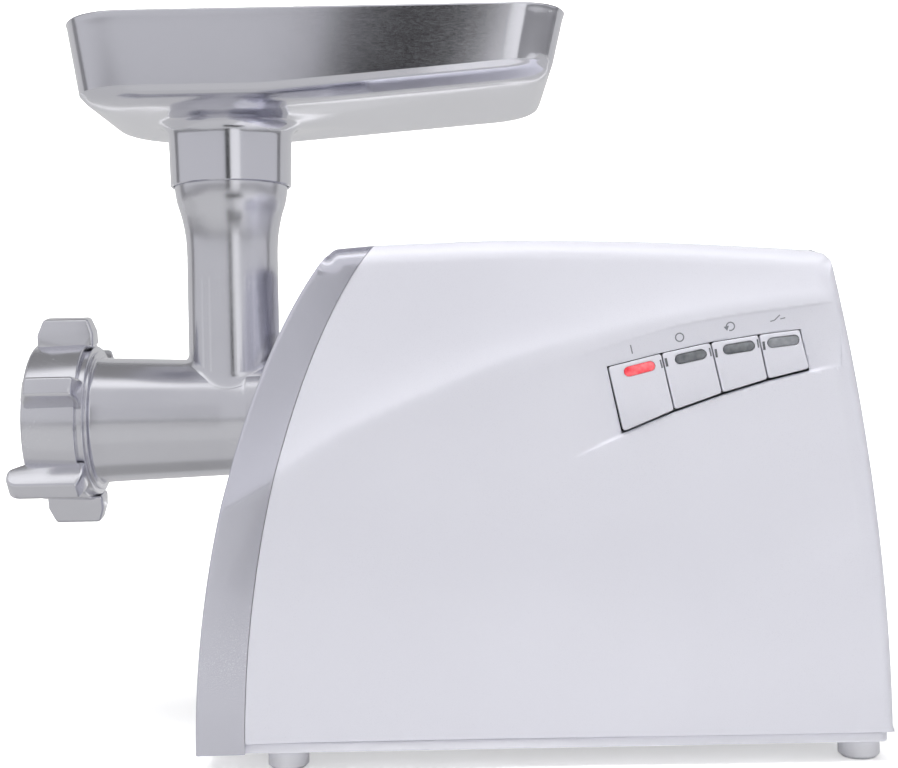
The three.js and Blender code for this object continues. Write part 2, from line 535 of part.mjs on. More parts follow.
function addAuger() {
  const { radius, core, rearX, pitch, journal } = AUGER;
  const flight = 34; // half of the angle that the flight takes up in a section, in degrees
  const section = [];
  for (let i = 0; i < 4; i++) {
    const angle = radians(-flight * 0.55 + (1.1 * flight * i) / 3);
    section.push([radius * Math.cos(angle), radius * Math.sin(angle)]);
  }
  for (let i = 0; i <= 8; i++) {
    const angle = radians(flight + ((360 - 2 * flight) * i) / 8);
    section.push([core * Math.cos(angle), core * Math.sin(angle)]);
  }
  const frontX = KNIFE.rearX + GAP;
  const length = rearX - frontX;
  const geometry = new THREE.ExtrudeGeometry(new THREE.Shape(points2(section)), {
    depth: length, steps: 30, bevelEnabled: false });
  const places = geometry.attributes.position;
  for (let i = 0; i < places.count; i++) {
    const turn = (2 * Math.PI * places.getZ(i)) / pitch;
    const [a, b] = [places.getX(i), places.getY(i)];
    places.setX(i, a * Math.cos(turn) - b * Math.sin(turn));
    places.setY(i, a * Math.sin(turn) + b * Math.cos(turn));
  }
  const screw = solid(geometry.applyMatrix4(ACROSS_X).translate(frontX, 0, HEAD.z));
  const square = (half, x0, x1) => box([x0, x1], [-half, half], [HEAD.z - half, HEAD.z + half]);
  const shank = square(COUPLING.shank / 2, -83, COUPLING.frontX + COUPLING.depth - 0.5);
  add("auger", join(screw, rodX(journal, rearX - 1, -82.5, HEAD_AXIS, 18), shank,
    square(KNIFE.square, KNIFE.frontX - 0.1, frontX + 1),
    rodX(PIN.radius, PIN.frontX, KNIFE.frontX, HEAD_AXIS, 16)), cast());

  const arm = [[-1, -6], [8, -7.5], [KNIFE.reach - 1, -4.5], [KNIFE.reach, -1], [KNIFE.reach - 1, 3],
    [8, 6], [-1, 6]];
  let knife = rodX(KNIFE.hub, KNIFE.frontX, KNIFE.rearX, HEAD_AXIS, 24);
  for (let i = 0; i < 4; i++)
    knife = knife.add(slabX(arm, KNIFE.frontX, KNIFE.rearX).rotate([90 * i, 0, 0])
      .translate([0, 0, HEAD.z]));
  add("knife", knife.subtract(square(KNIFE.square + GAP, -FAR, FAR)), steel());
}

function addPlate() {
  let plate = rodX(PLATE.radius, PLATE.frontX, PLATE.rearX, HEAD_AXIS, 28);
  plate = plate.subtract(rodX(PIN.radius + 0.4, -FAR, FAR, HEAD_AXIS, 12));
  for (const [count, radius] of PLATE_RINGS)
    for (let i = 0; i < count; i++) {
      const angle = (2 * Math.PI * (i + 0.5)) / count;
      const place = { y: radius * Math.cos(angle), z: HEAD.z + radius * Math.sin(angle) };
      plate = plate.subtract(rodX(PLATE.hole, -FAR, FAR, place, 6));
    }
  const key = box([PLATE.frontX, PLATE.rearX - GAP], [-PLATE.key, PLATE.key],
    [HEAD.z - PLATE.radius - 1.8, HEAD.z - PLATE.radius + 2]);
  add("cutting_plate", plate.add(key), steel());
}

function addNut() {
  const { radius, bore, lip, frontX, rearX } = NUT;
  const ring = [[lip, frontX + 1.2], [lip + 1.2, frontX], [radius - 2.2, frontX], [radius, frontX + 2.2],
    [radius, rearX - 1], [radius - 1, rearX], [bore + 0.8, rearX], [bore, rearX - 1],
    [bore, frontX + 3.3], [lip, frontX + 3.3], [lip, frontX + 1.2]];
  let nut = turnedX(ring, HEAD_AXIS, 36);
  const { tip, halfWidth } = LUG;
  const grip = (angle, base, end) => {
    const drawing = [[-radius + 1, base[0]], [-tip + 4, end[0] + 1.2], [-tip, end[0] + 4.5],
      [-tip, end[1] - 4.5], [-tip + 4, end[1] - 1.2], [-radius + 1, base[1]]];
    const shape = new THREE.Shape(points2(drawing));
    const geometry = new THREE.ExtrudeGeometry(shape, {
      depth: 2 * (halfWidth - 3), bevelThickness: 3, bevelSize: 2, bevelOffset: -2, bevelSegments: 1 });
    // drawn as [y, x], with its depth up and down, on the -Y side of the nut
    geometry.applyMatrix4(new THREE.Matrix4().makeBasis(new THREE.Vector3(0, 1, 0),
      new THREE.Vector3(1, 0, 0), new THREE.Vector3(0, 0, -1))).translate(0, 0, halfWidth - 3);
    return solid(geometry).rotate([-angle, 0, 0]).translate([0, 0, HEAD.z])
      .subtract(rodX(radius - 0.9, -FAR, FAR, HEAD_AXIS, 36));
  };
  const lugs = LUG.angles.map((angle) => grip(angle, [-196, -166], [-193, -168]));
  lugs.push(grip(LUG.long, [-202.8, -166], [-202.8, -168]));
  add("ring_nut", join(nut, ...lugs), cast());
}

// ---------------------------------------------------------------- feed tray
// A ring of the tray: a rounded rectangle in plan, which rises behind the neck.
function trayRing({ x, y, corners, height, rise }) {
  const steps = 4;
  const ring = [];
  const [front, rear] = corners;
  const centres = [[x[1] - rear, -y + rear, rear, -90], [x[1] - rear, y - rear, rear, 0],
    [x[0] + front, y - front, front, 90], [x[0] + front, -y + front, front, 180]];
  for (const [cx, cy, corner, start] of centres)
    for (let i = 0; i <= steps; i++) {
      const angle = radians(start + (90 * i) / steps);
      const px = cx + corner * Math.cos(angle);
      const beyond = Math.max(0, px - TRAY.riseX);
      ring.push([px, cy + corner * Math.sin(angle), height + rise * beyond]);
    }
  return ring;
}

// A closed solid through a stack of rings, from the lowest to the highest.
function loft(rings) {
  const count = rings[0].length;
  const places = [];
  const triangle = (...corners) => corners.forEach((corner) => places.push(...corner));
  for (let level = 0; level + 1 < rings.length; level++)
    for (let i = 0; i < count; i++) {
      const j = (i + 1) % count;
      const [low, high] = [rings[level], rings[level + 1]];
      triangle(low[i], low[j], high[j]);
      triangle(low[i], high[j], high[i]);
    }
  const middle = (ring) => [0, 1, 2].map((k) => ring.reduce((sum, p) => sum + p[k], 0) / count);
  const [bottom, top] = [rings[0], rings[rings.length - 1]];
  for (let i = 0; i < count; i++) {
    const j = (i + 1) % count;
    triangle(middle(bottom), bottom[j], bottom[i]);
    triangle(middle(top), top[i], top[j]);
  }
  const geometry = new THREE.BufferGeometry();
  geometry.setAttribute("position", new THREE.Float32BufferAttribute(places, 3));
  return solid(geometry);
}

// The tray's levels from the floor to the rim, drawn in by an inset and lifted by it below the rim.
function traySolid(inset, top) {
  const { floor, slope } = TRAY;
  const levels = [
    { x: [-135, 46], y: 48, corners: [24, 14], height: floor, rise: slope },
    { x: [-150, 53], y: 57, corners: [28, 17], height: floor + 1, rise: slope },
    { x: [-159.5, 57.5], y: 64.5, corners: [30, 20], height: floor + 4, rise: slope },
    { x: [-163.6, 59.5], y: 67.8, corners: [31, 21], height: floor + 10, rise: 0.8 * slope }];
  const lifted = levels.map((level) => ({ ...level, height: level.height + inset }));
  const rim = { x: [TRAY.frontX, TRAY.rearX], y: TRAY.y, corners: [32, 22], height: top, rise: 0 };
  return loft([...lifted, rim].map(({ x, y, corners, height, rise }) => trayRing({
    x: [x[0] + inset, x[1] - inset], y: y - inset, height, rise,
    corners: corners.map((corner) => corner - inset) })));
}

function addTray() {
  const pan = traySolid(0, TRAY.top).subtract(traySolid(TRAY.wall, TRAY.top + 0.01));
  const collar = [[0, 271.7], [29.8, 271.7], [30.45, 294.5], [32, 299],
    [32.5, TRAY.floor + 1], [0, TRAY.floor + 1]];
  const plug = turnedZ(collar, NECK.x, 0, 28);
  const inside = rodZ(TRAY.collar, 0, TRAY.seatZ, NECK.x, 0, 28);
  const throat = rodZ(TRAY.throat, 0, FAR, NECK.x, 0, 24);
  add("feed_tray", cut(join(pan, plug), inside, throat), steel());
}

// ---------------------------------------------------------------- buttons and what they press
function addButtons() {
  BUTTON_NAMES.forEach((name, i) => {
    const outline = buttonOutline(i);
    const [a, b] = [BUTTON_TOPS[i], BUTTON_TOPS[i + 1]];
    const slope = Math.atan2(b[1] - a[1], b[0] - a[0]);
    const centre = [(a[0] + b[0]) / 2 + 1.4, (a[1] + b[1]) / 2 - LENS.drop];
    const pill = (grow, y0, y1) => {
      const radius = LENS.height / 2 + grow;
      const reach = LENS.length / 2 - LENS.height / 2;
      const ends = [];
      for (const [end, start] of [[1, -90], [-1, 90]])
        for (let k = 0; k <= 4; k++) {
          const angle = radians(start + 45 * k);
          const [u, v] = [end * reach + radius * Math.cos(angle), radius * Math.sin(angle)];
          ends.push([centre[0] + u * Math.cos(slope) - v * Math.sin(slope),
            centre[1] + u * Math.sin(slope) + v * Math.cos(slope)]);
        }
      return slabY(ends, y0, y1);
    };
    const middle = outline.reduce((sum, p) => [sum[0] + p[0] / 4, sum[1] + p[1] / 4], [0, 0]);
    const cap = join(slabY(outline, BUTTON.front, BUTTON.rear),
      rodY(3, BUTTON.rear - 1, BUTTON.plunger, middle[0], middle[1], 8));
    add(`${name}_button`, cap.subtract(pill(0.2, -FAR, BUTTON.front + 1.6)), white());
    add(`${name}_lens`, pill(-0.1, BUTTON.front + 0.1, BUTTON.front + 1.3), i ? darkLens() : redLens());
  });

  // The switches stand behind the first three buttons, and the overload breaker behind the last.
  const front = BUTTON.plunger + BUTTON.travel + GAP;
  add("switch_block", slabY(buttonRow(0, 3), front, front + 13), blackPlastic());
  const breaker = buttonRow(3, 4).map(([x, z]) => [x + GAP, z]);
  add("overload_breaker", slabY(breaker, front, front + 24), greyPlastic());
}

// The button that lets the head turn out of its socket, with its latch and its spring.
function addRelease() {
  const { y, z, radius } = RELEASE;
  const cap = [[0, -83], [radius - 1.5, -83], [radius, -81.5], [radius, -70], [3, -70], [3, -63],
    [0, -63]];
  add("release_button", turnedX(cap, { y, z }, 16), greyPlastic());
  const pin = box([-61.4, -59.6], [31.5, 36], [HEAD.z - 1, HEAD.z + 8]);
  const [armFront, armRear] = [-60.6, -58.6];
  const arm = box([armFront, armRear], [31.5, y + 6], [HEAD.z - 1, z + 4]);
  const hub = rodX(6, -62.7, armRear, { y, z }, 12);
  const stem = rodX(2, -62.7, -54.2, { y, z }, 8);
  add("release_latch", join(arm, pin, hub, stem), steel());
  const [front, rear] = [armRear + GAP, GEARBOX.frontX - GAP];
  add("release_spring", pipeX(4.2, 2.6, front, rear, { y, z }, 12), steel());
}

addHousing();
addSocket();
addGearbox();
addGears();
addCoupling();
addMotor();
addHead();
addAuger();
addPlate();
addNut();
addTray();
addButtons();
addRelease();

export default machine;
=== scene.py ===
"""Looks of an electric meat grinder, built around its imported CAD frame.

Shapes are drawn in millimetres and become metres when a mesh is made. +Z is up, the grinding head
points to -X and the control side of the housing faces -Y.
"""
from math import atan2, cos, hypot, pi, radians, sin, sqrt, tan

import bmesh
import bpy
import numpy as np
from mathutils import Matrix, Vector


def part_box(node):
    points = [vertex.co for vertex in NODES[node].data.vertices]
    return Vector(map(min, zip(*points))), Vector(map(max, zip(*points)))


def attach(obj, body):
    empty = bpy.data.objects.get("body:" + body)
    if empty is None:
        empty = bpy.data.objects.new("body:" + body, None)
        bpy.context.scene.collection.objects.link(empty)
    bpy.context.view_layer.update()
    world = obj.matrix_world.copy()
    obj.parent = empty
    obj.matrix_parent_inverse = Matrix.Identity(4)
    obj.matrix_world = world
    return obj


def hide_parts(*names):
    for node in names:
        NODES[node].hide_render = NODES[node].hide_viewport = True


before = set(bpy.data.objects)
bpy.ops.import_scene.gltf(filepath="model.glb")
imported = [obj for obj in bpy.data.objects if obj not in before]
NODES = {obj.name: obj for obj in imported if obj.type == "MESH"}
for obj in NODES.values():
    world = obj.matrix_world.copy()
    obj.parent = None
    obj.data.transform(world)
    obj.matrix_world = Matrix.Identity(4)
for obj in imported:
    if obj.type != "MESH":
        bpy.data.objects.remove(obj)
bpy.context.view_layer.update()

MM = 0.001
SCENE = bpy.context.scene


def low(node):
    """The lowest corner of a CAD node, in millimetres."""
    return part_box(node)[0] / MM


def high(node):
    """The highest corner of a CAD node, in millimetres."""
    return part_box(node)[1] / MM


def centre_of(node):
    """The middle of a CAD node's box, in millimetres."""
    return (low(node) + high(node)) / 2


# ------ sizes, and places from the frame
HALF_WIDTH = high("housing_far_side").y
HOUSING_BOTTOM = low("housing_far_side").z
FASCIA_BOTTOM = low("front_fascia").z
HEAD_Z = centre_of("drive_coupling").z
TRAY_LOW, TRAY_HIGH = low("feed_tray"), high("feed_tray")
WALL = 2.6  # thickness of the housing shells
EDGES = {"front": 1.6, "top": 10.0, "rear": 5.0}  # rounding of the housing's side edges
AXIS = (0, HEAD_Z)  # y and z of the grinding head's axis
BARREL_RADIUS = 29.2
NECK_X = -98.7
NECK_RADIUS = 22.5
NUT_FRONT, NUT_REAR = -195.8, -169.8
NUT = {"radius": 39.8, "bore": 36.1, "lip": 23.5, "face": NUT_FRONT + 3.3}
LUG = {"root": 37.4, "tip": 51.5, "half_width": 6.9, "narrowing": 0.34, "rear": -166.2,
       "front": -193.8, "long_front": -202.8, "long_angle": -40}
LUG_ANGLES = (80, 20, -40, -100, -160, 140)
BAYONET_ANGLES = (90, 210, 330)
HEAD_TWIST = 35  # degrees between the locked head and its way in
THREAD = {"radius": 35.2, "depth": 0.3, "pitch": 3, "front": -189.5, "rear": -171.5}
CAMERA_LIFT = 0.4  # added to the floor and the backdrop for the camera's own rays


# ------ mesh helpers
def add_object(name, data):
    obj = bpy.data.objects.new(name, data)
    SCENE.collection.objects.link(obj)
    return obj


def make(name, points, faces, material, body, stands_for=(), slot=None, sharp=32):
    """A mesh object from points in millimetres, riding on a body and standing for CAD nodes."""
    mesh = bpy.data.meshes.new(name)
    mesh.from_pydata([tuple(MM * c for c in p) for p in points], [], [tuple(f) for f in faces])
    bm = bmesh.new()
    bm.from_mesh(mesh)
    bmesh.ops.remove_doubles(bm, verts=bm.verts, dist=1e-7)
    bmesh.ops.recalc_face_normals(bm, faces=bm.faces)
    bm.to_mesh(mesh)
    bm.free()
    obj = add_object(name, mesh)
    if material:
        mesh.materials.append(material)
    shade(obj, sharp)
    if body:
        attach(obj, body)
    if stands_for:
        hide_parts(*stands_for)
    return obj


def shade(obj, sharp=32):
    """Smooth shading with crisp edges above an angle, in degrees."""
    obj.data.polygons.foreach_set("use_smooth", [True] * len(obj.data.polygons))
    obj.data.set_sharp_from_angle(angle=radians(sharp))


def apply_modifiers(obj):
    """Bakes an object's modifiers into its mesh."""
    graph = bpy.context.evaluated_depsgraph_get()
    mesh = bpy.data.meshes.new_from_object(obj.evaluated_get(graph))
    old = obj.data
    obj.modifiers.clear()
    obj.data = mesh
    bpy.data.meshes.remove(old)


def tool(shape):
    """A helper object from points and faces, to join or cut another with."""
    return make("tool", *shape, None, None)


def combine(obj, helper, operation):
    """Joins or cuts an object with another object or a shape, which is used up."""
    if isinstance(helper, tuple):
        helper = tool(helper)
    modifier = obj.modifiers.new("combine", "BOOLEAN")
    modifier.object = helper
    modifier.operation = operation
    modifier.solver = "MANIFOLD"
    apply_modifiers(obj)
    bpy.data.objects.remove(helper)


def cut(obj, helper):
    combine(obj, helper, "DIFFERENCE")


def join(obj, helper):
    combine(obj, helper, "UNION")


def bevelled(obj, width, segments=2, angle=38):
    """Rounds the crisp edges of a piece."""
    modifier = obj.modifiers.new("edges", "BEVEL")
    modifier.width = width * MM
    modifier.segments = segments
    modifier.limit_method = "ANGLE"
    modifier.angle_limit = radians(angle)
    modifier.use_clamp_overlap = True
    modifier.miter_outer = "MITER_ARC"
    apply_modifiers(obj)
    shade(obj, 40)
    return obj


def grid_faces(rows, columns, start=0):
    """The faces of a grid of points that are counted row by row."""
    corners = [start + i * columns + j for i in range(rows - 1) for j in range(columns - 1)]
    return [(a, a + 1, a + columns + 1, a + columns) for a in corners]


def stack(rings, loop=False):
    """Points and faces of a solid through rings; a loop joins its last ring to the first."""
    count = len(rings[0])
    points = [p for ring in rings for p in ring]
    faces = []
    for level in range(len(rings) if loop else len(rings) - 1):
        a, b = level * count, ((level + 1) % len(rings)) * count
        for i in range(count):
            j = (i + 1) % count
            faces.append((a + i, a + j, b + j, b + i))
    if not loop:
        faces.append(tuple(range(count))[::-1])
        faces.append(tuple(len(points) - count + i for i in range(count)))
    return points, faces


def on_axis(axis, level, a, b):
    """The point at a level on an axis; a and b are its other two coordinates."""
    return {"x": (level, a, b), "y": (a, level, b), "z": (a, b, level)}[axis]


def turned(profile, place, axis="x", segments=96, loop=True):
    """A profile of (radius, distance) points turned about an axis through a place."""
    rings = []
    for radius, distance in profile:
        ring = []
        for i in range(segments):
            angle = 2 * pi * i / segments
            a, b = radius * cos(angle), radius * sin(angle)
            ring.append(on_axis(axis, distance, place[0] + a, place[1] + b))
        rings.append(ring)
    return stack(rings, loop=loop)


def solid_of_turn(profile, place, axis="x", segments=96):
    """A turned solid whose profile starts and ends close to the axis."""
    return turned(profile, place, axis, segments, loop=False)


def rod(radius, start, end, place, axis="x", segments=64):
    """A plain cylinder from start to end along an axis through a place."""
    return solid_of_turn([(radius, start), (radius, end)], place, axis, segments)


def rectangle(a0, b0, a1, b1, *radius):
    """The four corners of a rectangle, each with a radius where one is given."""
    return [(a, b, *radius) for a, b in ((a0, b0), (a1, b0), (a1, b1), (a0, b1))]


def rounded(corners, steps=5):
    """A closed outline with its corners rounded; a corner is (a, b) or (a, b, radius)."""
    outline = []
    count = len(corners)
    for i, corner in enumerate(corners):
        radius = corner[2] if len(corner) > 2 else 0
        here = Vector(corner[:2])
        if not radius:
            outline.append(tuple(here))
            continue
        to_last = (Vector(corners[i - 1][:2]) - here).normalized()
        to_next = (Vector(corners[(i + 1) % count][:2]) - here).normalized()
        half = to_last.angle(to_next) / 2
        reach = radius / tan(half)
        start, end = here + to_last * reach, here + to_next * reach
        centre = here + (to_last + to_next).normalized() * (radius / sin(half))
        first = start - centre
        turn = first.angle_signed(end - centre)
        for k in range(steps + 1):
            spin = Matrix.Rotation(-turn * k / steps, 2)
            outline.append(tuple(centre + spin @ first))
    return outline


def drawn_in(outline, distance):
    """An outline moved inwards; its points run counter-clockwise."""
    points = np.array(outline, float)
    before, after = np.roll(points, 1, 0), np.roll(points, -1, 0)

    def normals(step):
        length = np.maximum(np.linalg.norm(step, axis=1, keepdims=True), 1e-9)
        return np.stack([-step[:, 1], step[:, 0]], 1) / length

    first, second = normals(points - before), normals(after - points)
    middle = first + second
    middle /= np.maximum(np.linalg.norm(middle, axis=1, keepdims=True), 1e-9)
    reach = distance / np.maximum((middle * first).sum(1, keepdims=True), 0.35)
    return [tuple(p) for p in points + middle * reach]


def area(outline):
    """The area of an outline, negative where its points run clockwise."""
    x, y = np.array(outline, float).T
    return 0.5 * float(np.sum(x * np.roll(y, -1) - np.roll(x, -1) * y))


def plate(outline, start, end, axis="y", bevel=0.0, steps=3):
    """An outline extruded from start to end along an axis, with rounded end edges.

    An outline lies in xz for axis y, in yz for axis x and in xy for axis z.
    """
    if area(outline) < 0:
        outline = outline[::-1]
    section = [(0.0, start), (0.0, end)]
    if bevel:
        arc = [k / steps * pi / 2 for k in range(steps + 1)]
        section = [(bevel * (1 - sin(t)), start + bevel * (1 - cos(t))) for t in arc]
        section += [(bevel * (1 - cos(t)), end - bevel * (1 - sin(t))) for t in arc]
    rings = []
    for inset, level in section:
        ring = drawn_in(outline, inset) if inset else outline
        rings.append([on_axis(axis, level, a, b) for a, b in ring])
    return stack(rings)


def merged(shapes):
    """Points and faces of several shapes as one."""
    points, faces = [], []
    for more_points, more_faces in shapes:
        faces += [tuple(len(points) + k for k in face) for face in more_faces]
        points += more_points
    return points, faces


def bezier(a, b, c, d, count):
    """Points on a cubic curve from a to d."""
    t = np.linspace(0, 1, count)[:, None]
    a, b, c, d = (np.array(p, float) for p in (a, b, c, d))
    return (1 - t) ** 3 * a + 3 * (1 - t) ** 2 * t * b + 3 * (1 - t) * t ** 2 * c + t ** 3 * d


def spline(points, count):
    """A smooth curve through points (Catmull-Rom), evenly stepped in its parameter."""
    p = np.array(points, float)
    p = np.vstack([2 * p[0] - p[1], p, 2 * p[-1] - p[-2]])
    out = []
    for s in np.linspace(0, len(points) - 1, count):
        i = min(int(s), len(points) - 2)
        t = s - i
        a, b, c, d = p[i:i + 4]
        out.append(0.5 * (2 * b + (c - a) * t + (2 * a - 5 * b + 4 * c - d) * t ** 2
                          + (3 * b - a - 3 * c + d) * t ** 3))
    return np.array(out)


# ------ materials
def tree(name):
    """A new material, its nodes, and its shader."""
    material = bpy.data.materials.new(name)
    material.use_nodes = True
    nodes = material.node_tree.nodes
    return material, nodes, nodes["Principled BSDF"]


def is_output(value):
    return isinstance(value, bpy.types.NodeSocket)


def fill(node, values):
    """Fills the inputs of a node with constants, or links them to the outputs of other nodes."""
    for name, value in values.items():
        if is_output(value):
            node.id_data.links.new(value, node.inputs[name])
        else:
            node.inputs[name].default_value = value
    return node


def add_node(nodes, kind, values):
    return fill(nodes.new("ShaderNode" + kind), values)


def mixed(nodes, factor, first, second):
    """A colour between two; the first one may be the output of a node."""
    mix = nodes.new("ShaderNodeMix")
    mix.data_type = "RGBA"
    fill(mix, {"Factor": factor, "A": first if is_output(first) else (*first, 1),
               "B": (*second, 1)})
    return mix.outputs["Result"]


def grain(nodes, scale, detail=4.0, stretch=(1, 1, 1), rough=0.55):
    """A noise texture in the object's own coordinates, in metres."""
    where = nodes.new("ShaderNodeTexCoord").outputs["Object"]
    mapping = add_node(nodes, "Mapping", {"Vector": where, "Scale": stretch})
    noise = add_node(nodes, "TexNoise", {"Vector": mapping.outputs["Vector"], "Scale": scale,
                                         "Detail": detail, "Roughness": rough})
    return noise.outputs["Fac"]


def spread(nodes, value, low_value, high_value):
    """Maps a noise, which mostly lies between 0.3 and 0.7, to a range."""
    ramp = add_node(nodes, "MapRange", {"Value": value, "From Min": 0.3, "From Max": 0.7,
                                        "To Min": low_value, "To Max": high_value})
    return ramp.outputs["Result"]


def surface(name, color, roughness, metallic=0.0, vary=0.04, fine=900, bump=0.02, depth=0.00004,
            stretch=(1, 1, 1), patches=14, uneven=0.03, coat=0.0, coat_roughness=0.05, worn=0.0):
    """A solid material with a fine grain, slow patches of tone and roughness, and worn edges."""
    material, nodes, shader = tree(name)
    slow = grain(nodes, patches, 3.0)
    small = grain(nodes, fine, 5.0, stretch)
    shader.inputs["Metallic"].default_value = metallic
    shader.inputs["Coat Weight"].default_value = coat
    shader.inputs["Coat Roughness"].default_value = coat_roughness
    tone = mixed(nodes, spread(nodes, slow, 0, 1), [c * (1 - vary) for c in color],
                 [min(1, c * (1 + vary)) for c in color])
    if worn:
        edge = nodes.new("ShaderNodeNewGeometry").outputs["Pointiness"]
        wear = add_node(nodes, "MapRange", {"Value": edge, "From Min": 0.52, "From Max": 0.62,
                                            "To Max": worn})
        tone = mixed(nodes, wear.outputs["Result"], tone, [min(1, c * 1.35 + 0.04) for c in color])
    both = add_node(nodes, "Math", {0: spread(nodes, slow, -uneven, uneven),
                                    1: spread(nodes, small, roughness - 0.04, roughness + 0.04)})
    bumps = add_node(nodes, "Bump", {"Strength": bump, "Distance": depth, "Height": small})
    fill(shader, {"Base Color": tone, "Roughness": both.outputs["Value"],
                  "Normal": bumps.outputs["Normal"]})
    return material


WHITE = surface("white_plastic", (0.78, 0.78, 0.85), 0.30, vary=0.006, fine=2400, bump=0.004,
                depth=0.00002, uneven=0.006, coat=0.5, coat_roughness=0.10)
SILVER = surface("silver_paint", (0.73, 0.73, 0.81), 0.24, metallic=0.85, vary=0.015, fine=2600,
                 bump=0.01, depth=0.00002, uneven=0.01, coat=0.6, coat_roughness=0.04)
CAST = surface("cast_aluminium", (0.69, 0.69, 0.735), 0.22, metallic=1.0, vary=0.03, fine=1500,
               patches=22, worn=0.2)
TRAY = surface("satin_aluminium", (0.68, 0.68, 0.73), 0.15, metallic=1.0, vary=0.02, fine=420,
               bump=0.05, stretch=(1, 14, 14), patches=9)
STEEL = surface("ground_steel", (0.56, 0.57, 0.59), 0.26, metallic=1.0, fine=500, bump=0.08,
                stretch=(12, 1, 1), worn=0.25)
DARK_STEEL = surface("laminated_steel", (0.12, 0.12, 0.13), 0.45, metallic=0.8, vary=0.12, fine=300,
                     bump=0.3, depth=0.0001, stretch=(10, 0.3, 0.3))
COPPER = surface("enamelled_copper", (0.55, 0.22, 0.09), 0.32, metallic=0.9, vary=0.12, fine=500,
                 bump=0.4, depth=0.0002, stretch=(1, 6, 1))
BRASS = surface("turned_brass", (0.62, 0.45, 0.16), 0.3, metallic=1.0, vary=0.06, fine=700, bump=0.08)
RUBBER = surface("pale_rubber", (0.78, 0.78, 0.82), 0.62, fine=1400, bump=0.2, depth=0.00008)
NYLON = surface("nylon", (0.72, 0.69, 0.60), 0.5, bump=0.1)
BLACK = surface("black_plastic", (0.022, 0.022, 0.024), 0.48, vary=0.1, fine=1100, bump=0.15)
GREY = surface("grey_plastic", (0.55, 0.55, 0.60), 0.45, vary=0.03, fine=1100, bump=0.12)
BASE = surface("base_plastic", (0.86, 0.86, 0.92), 0.42, vary=0.02, fine=1000, bump=0.12)
INK = surface("grey_print", (0.24, 0.25, 0.28), 0.4, vary=0.03, fine=1500, bump=0.05)


def lens(name, deep, pale, glow):
    """An indicator window: a rippled tone between two colours, with its own glow."""
    material, nodes, shader = tree(name)
    ripple = grain(nodes, 260, 2.0)
    tone = mixed(nodes, spread(nodes, ripple, 0, 1), deep, pale)
    fill(shader, {"Base Color": tone, "Roughness": spread(nodes, ripple, 0.06, 0.16),
                  "Emission Color": tone, "Emission Strength": glow})
    shader.inputs["Coat Weight"].default_value = 0.8
    return material


RED_LENS = lens("lit_red_window", (0.62, 0.02, 0.04), (0.95, 0.16, 0.18), 0.45)
DARK_LENS = lens("smoked_window", (0.10, 0.11, 0.12), (0.20, 0.21, 0.23), 0.0)
GREY_LENS = lens("grey_window", (0.22, 0.23, 0.25), (0.34, 0.35, 0.38), 0.0)


# ------ housing outline
FRONT = bezier((-107.1, 9), (-107.1, 95), (-81.8, 187), (-43.2, 233), 400)
FRONT = FRONT[FRONT[:, 1] < 230.6]
SEAM = bezier((-85.1, 9), (-85.1, 95), (-61.8, 187), (-24, 234.6), 400)
REAR = bezier((202.7, 14), (202.7, 90), (192.2, 165), (179.2, 224.0), 400)
CORNER = 4.6  # the housing's upper rear corner, in side view


def corner_arc(start, end):
    """The upper rear corner: an arc that ends where the rear begins."""
    lean = radians(end)
    middle = REAR[-1] - CORNER * np.array((cos(lean), sin(lean)))
    turns = np.radians(np.linspace(start, end, 20))[:, None]
    return middle + CORNER * np.hstack([np.cos(turns), np.sin(turns)])


def quadratic(a, b, c, count):
    """Points on a quadratic curve from a to c."""
    t = np.linspace(0, 1, count)[:, None]
    return (1 - t) ** 2 * np.array(a) + 2 * t * (1 - t) * np.array(b) + t * t * np.array(c)


TOP = np.vstack([quadratic(FRONT[-1], (-43.0, 233.2), (-40.4, 233.5), 16),
                 spline([(-40.2, 233.52), (-24, 234.6), (0, 235.3), (40.8, 235.8), (101.2, 233.8),
                         (150.7, 230.5), (172.0, 228.75)], 400), corner_arc(83, 12)])
SEAM_GAP = 0.25
SIDES = {"front": FRONT[::4], "top": TOP[::4], "rear": REAR[::-4]}
OUTLINE = np.vstack(list(SIDES.values()))  # clockwise from the front's foot
# The folds of the side: the line each one starts from, the width of its soft start, its slope,
# and the reach over which it levels out.
CREASE = spline([(-104, 112), (-70.8, 130.7), (-39.8, 149.3), (1.2, 167.3), (39.7, 181.5),
                 (80, 192), (110.9, 198.5), (150, 204), (190, 207)], 200)
LOWER = spline([(30, 20), (80, 52), (109, 71), (140, 92), (175, 110), (205, 124)], 200)
ABOVE_CREASE = {"width": 4, "slope": 0.34, "reach": 13}
BELOW_CREASE = {"width": 6, "slope": 0.07, "reach": 32}
BELOW_LOWER = {"width": 12, "slope": 0.05, "reach": 40}
FOLD_FADE = 10.0  # the folds end within this distance of the rear edge
RECESS_FOOT = spline([(62, 136.8), (84.0, 146.4), (107.5, 156.2), (129.2, 163.4), (149.8, 169.2),
                      (169.5, 173.6), (186, 176.8)], 200)
RECESS_HEAD = spline([(62, 182), (90, 190.5), (110.9, 195.8), (140, 200.4), (171.2, 204.1),
                      (186, 205.6)], 200)
RECESS = {"depth": 1.3, "left": 60, "right": 182, "left_run": 24, "right_run": 14,
          "foot_step": 1.7, "head_step": 1.0, "rim": 0.3}


def x_at(curve, z):
    """x of an upright curve at a height; it runs straight on above its top."""
    end = curve[-1] + 5 * (curve[-1] - curve[-5])
    line = np.vstack([curve, end])
    order = np.argsort(line[:, 1])
    return np.interp(z, line[order, 1], line[order, 0])


def z_at(curve, x):
    """Height of a level curve at an x."""
    return np.interp(x, curve[:, 0], curve[:, 1])


def smooth(value):
    """0 below 0, 1 above 1, and a soft step between them."""
    t = np.clip(value, 0, 1)
    return t * t * (3 - 2 * t)


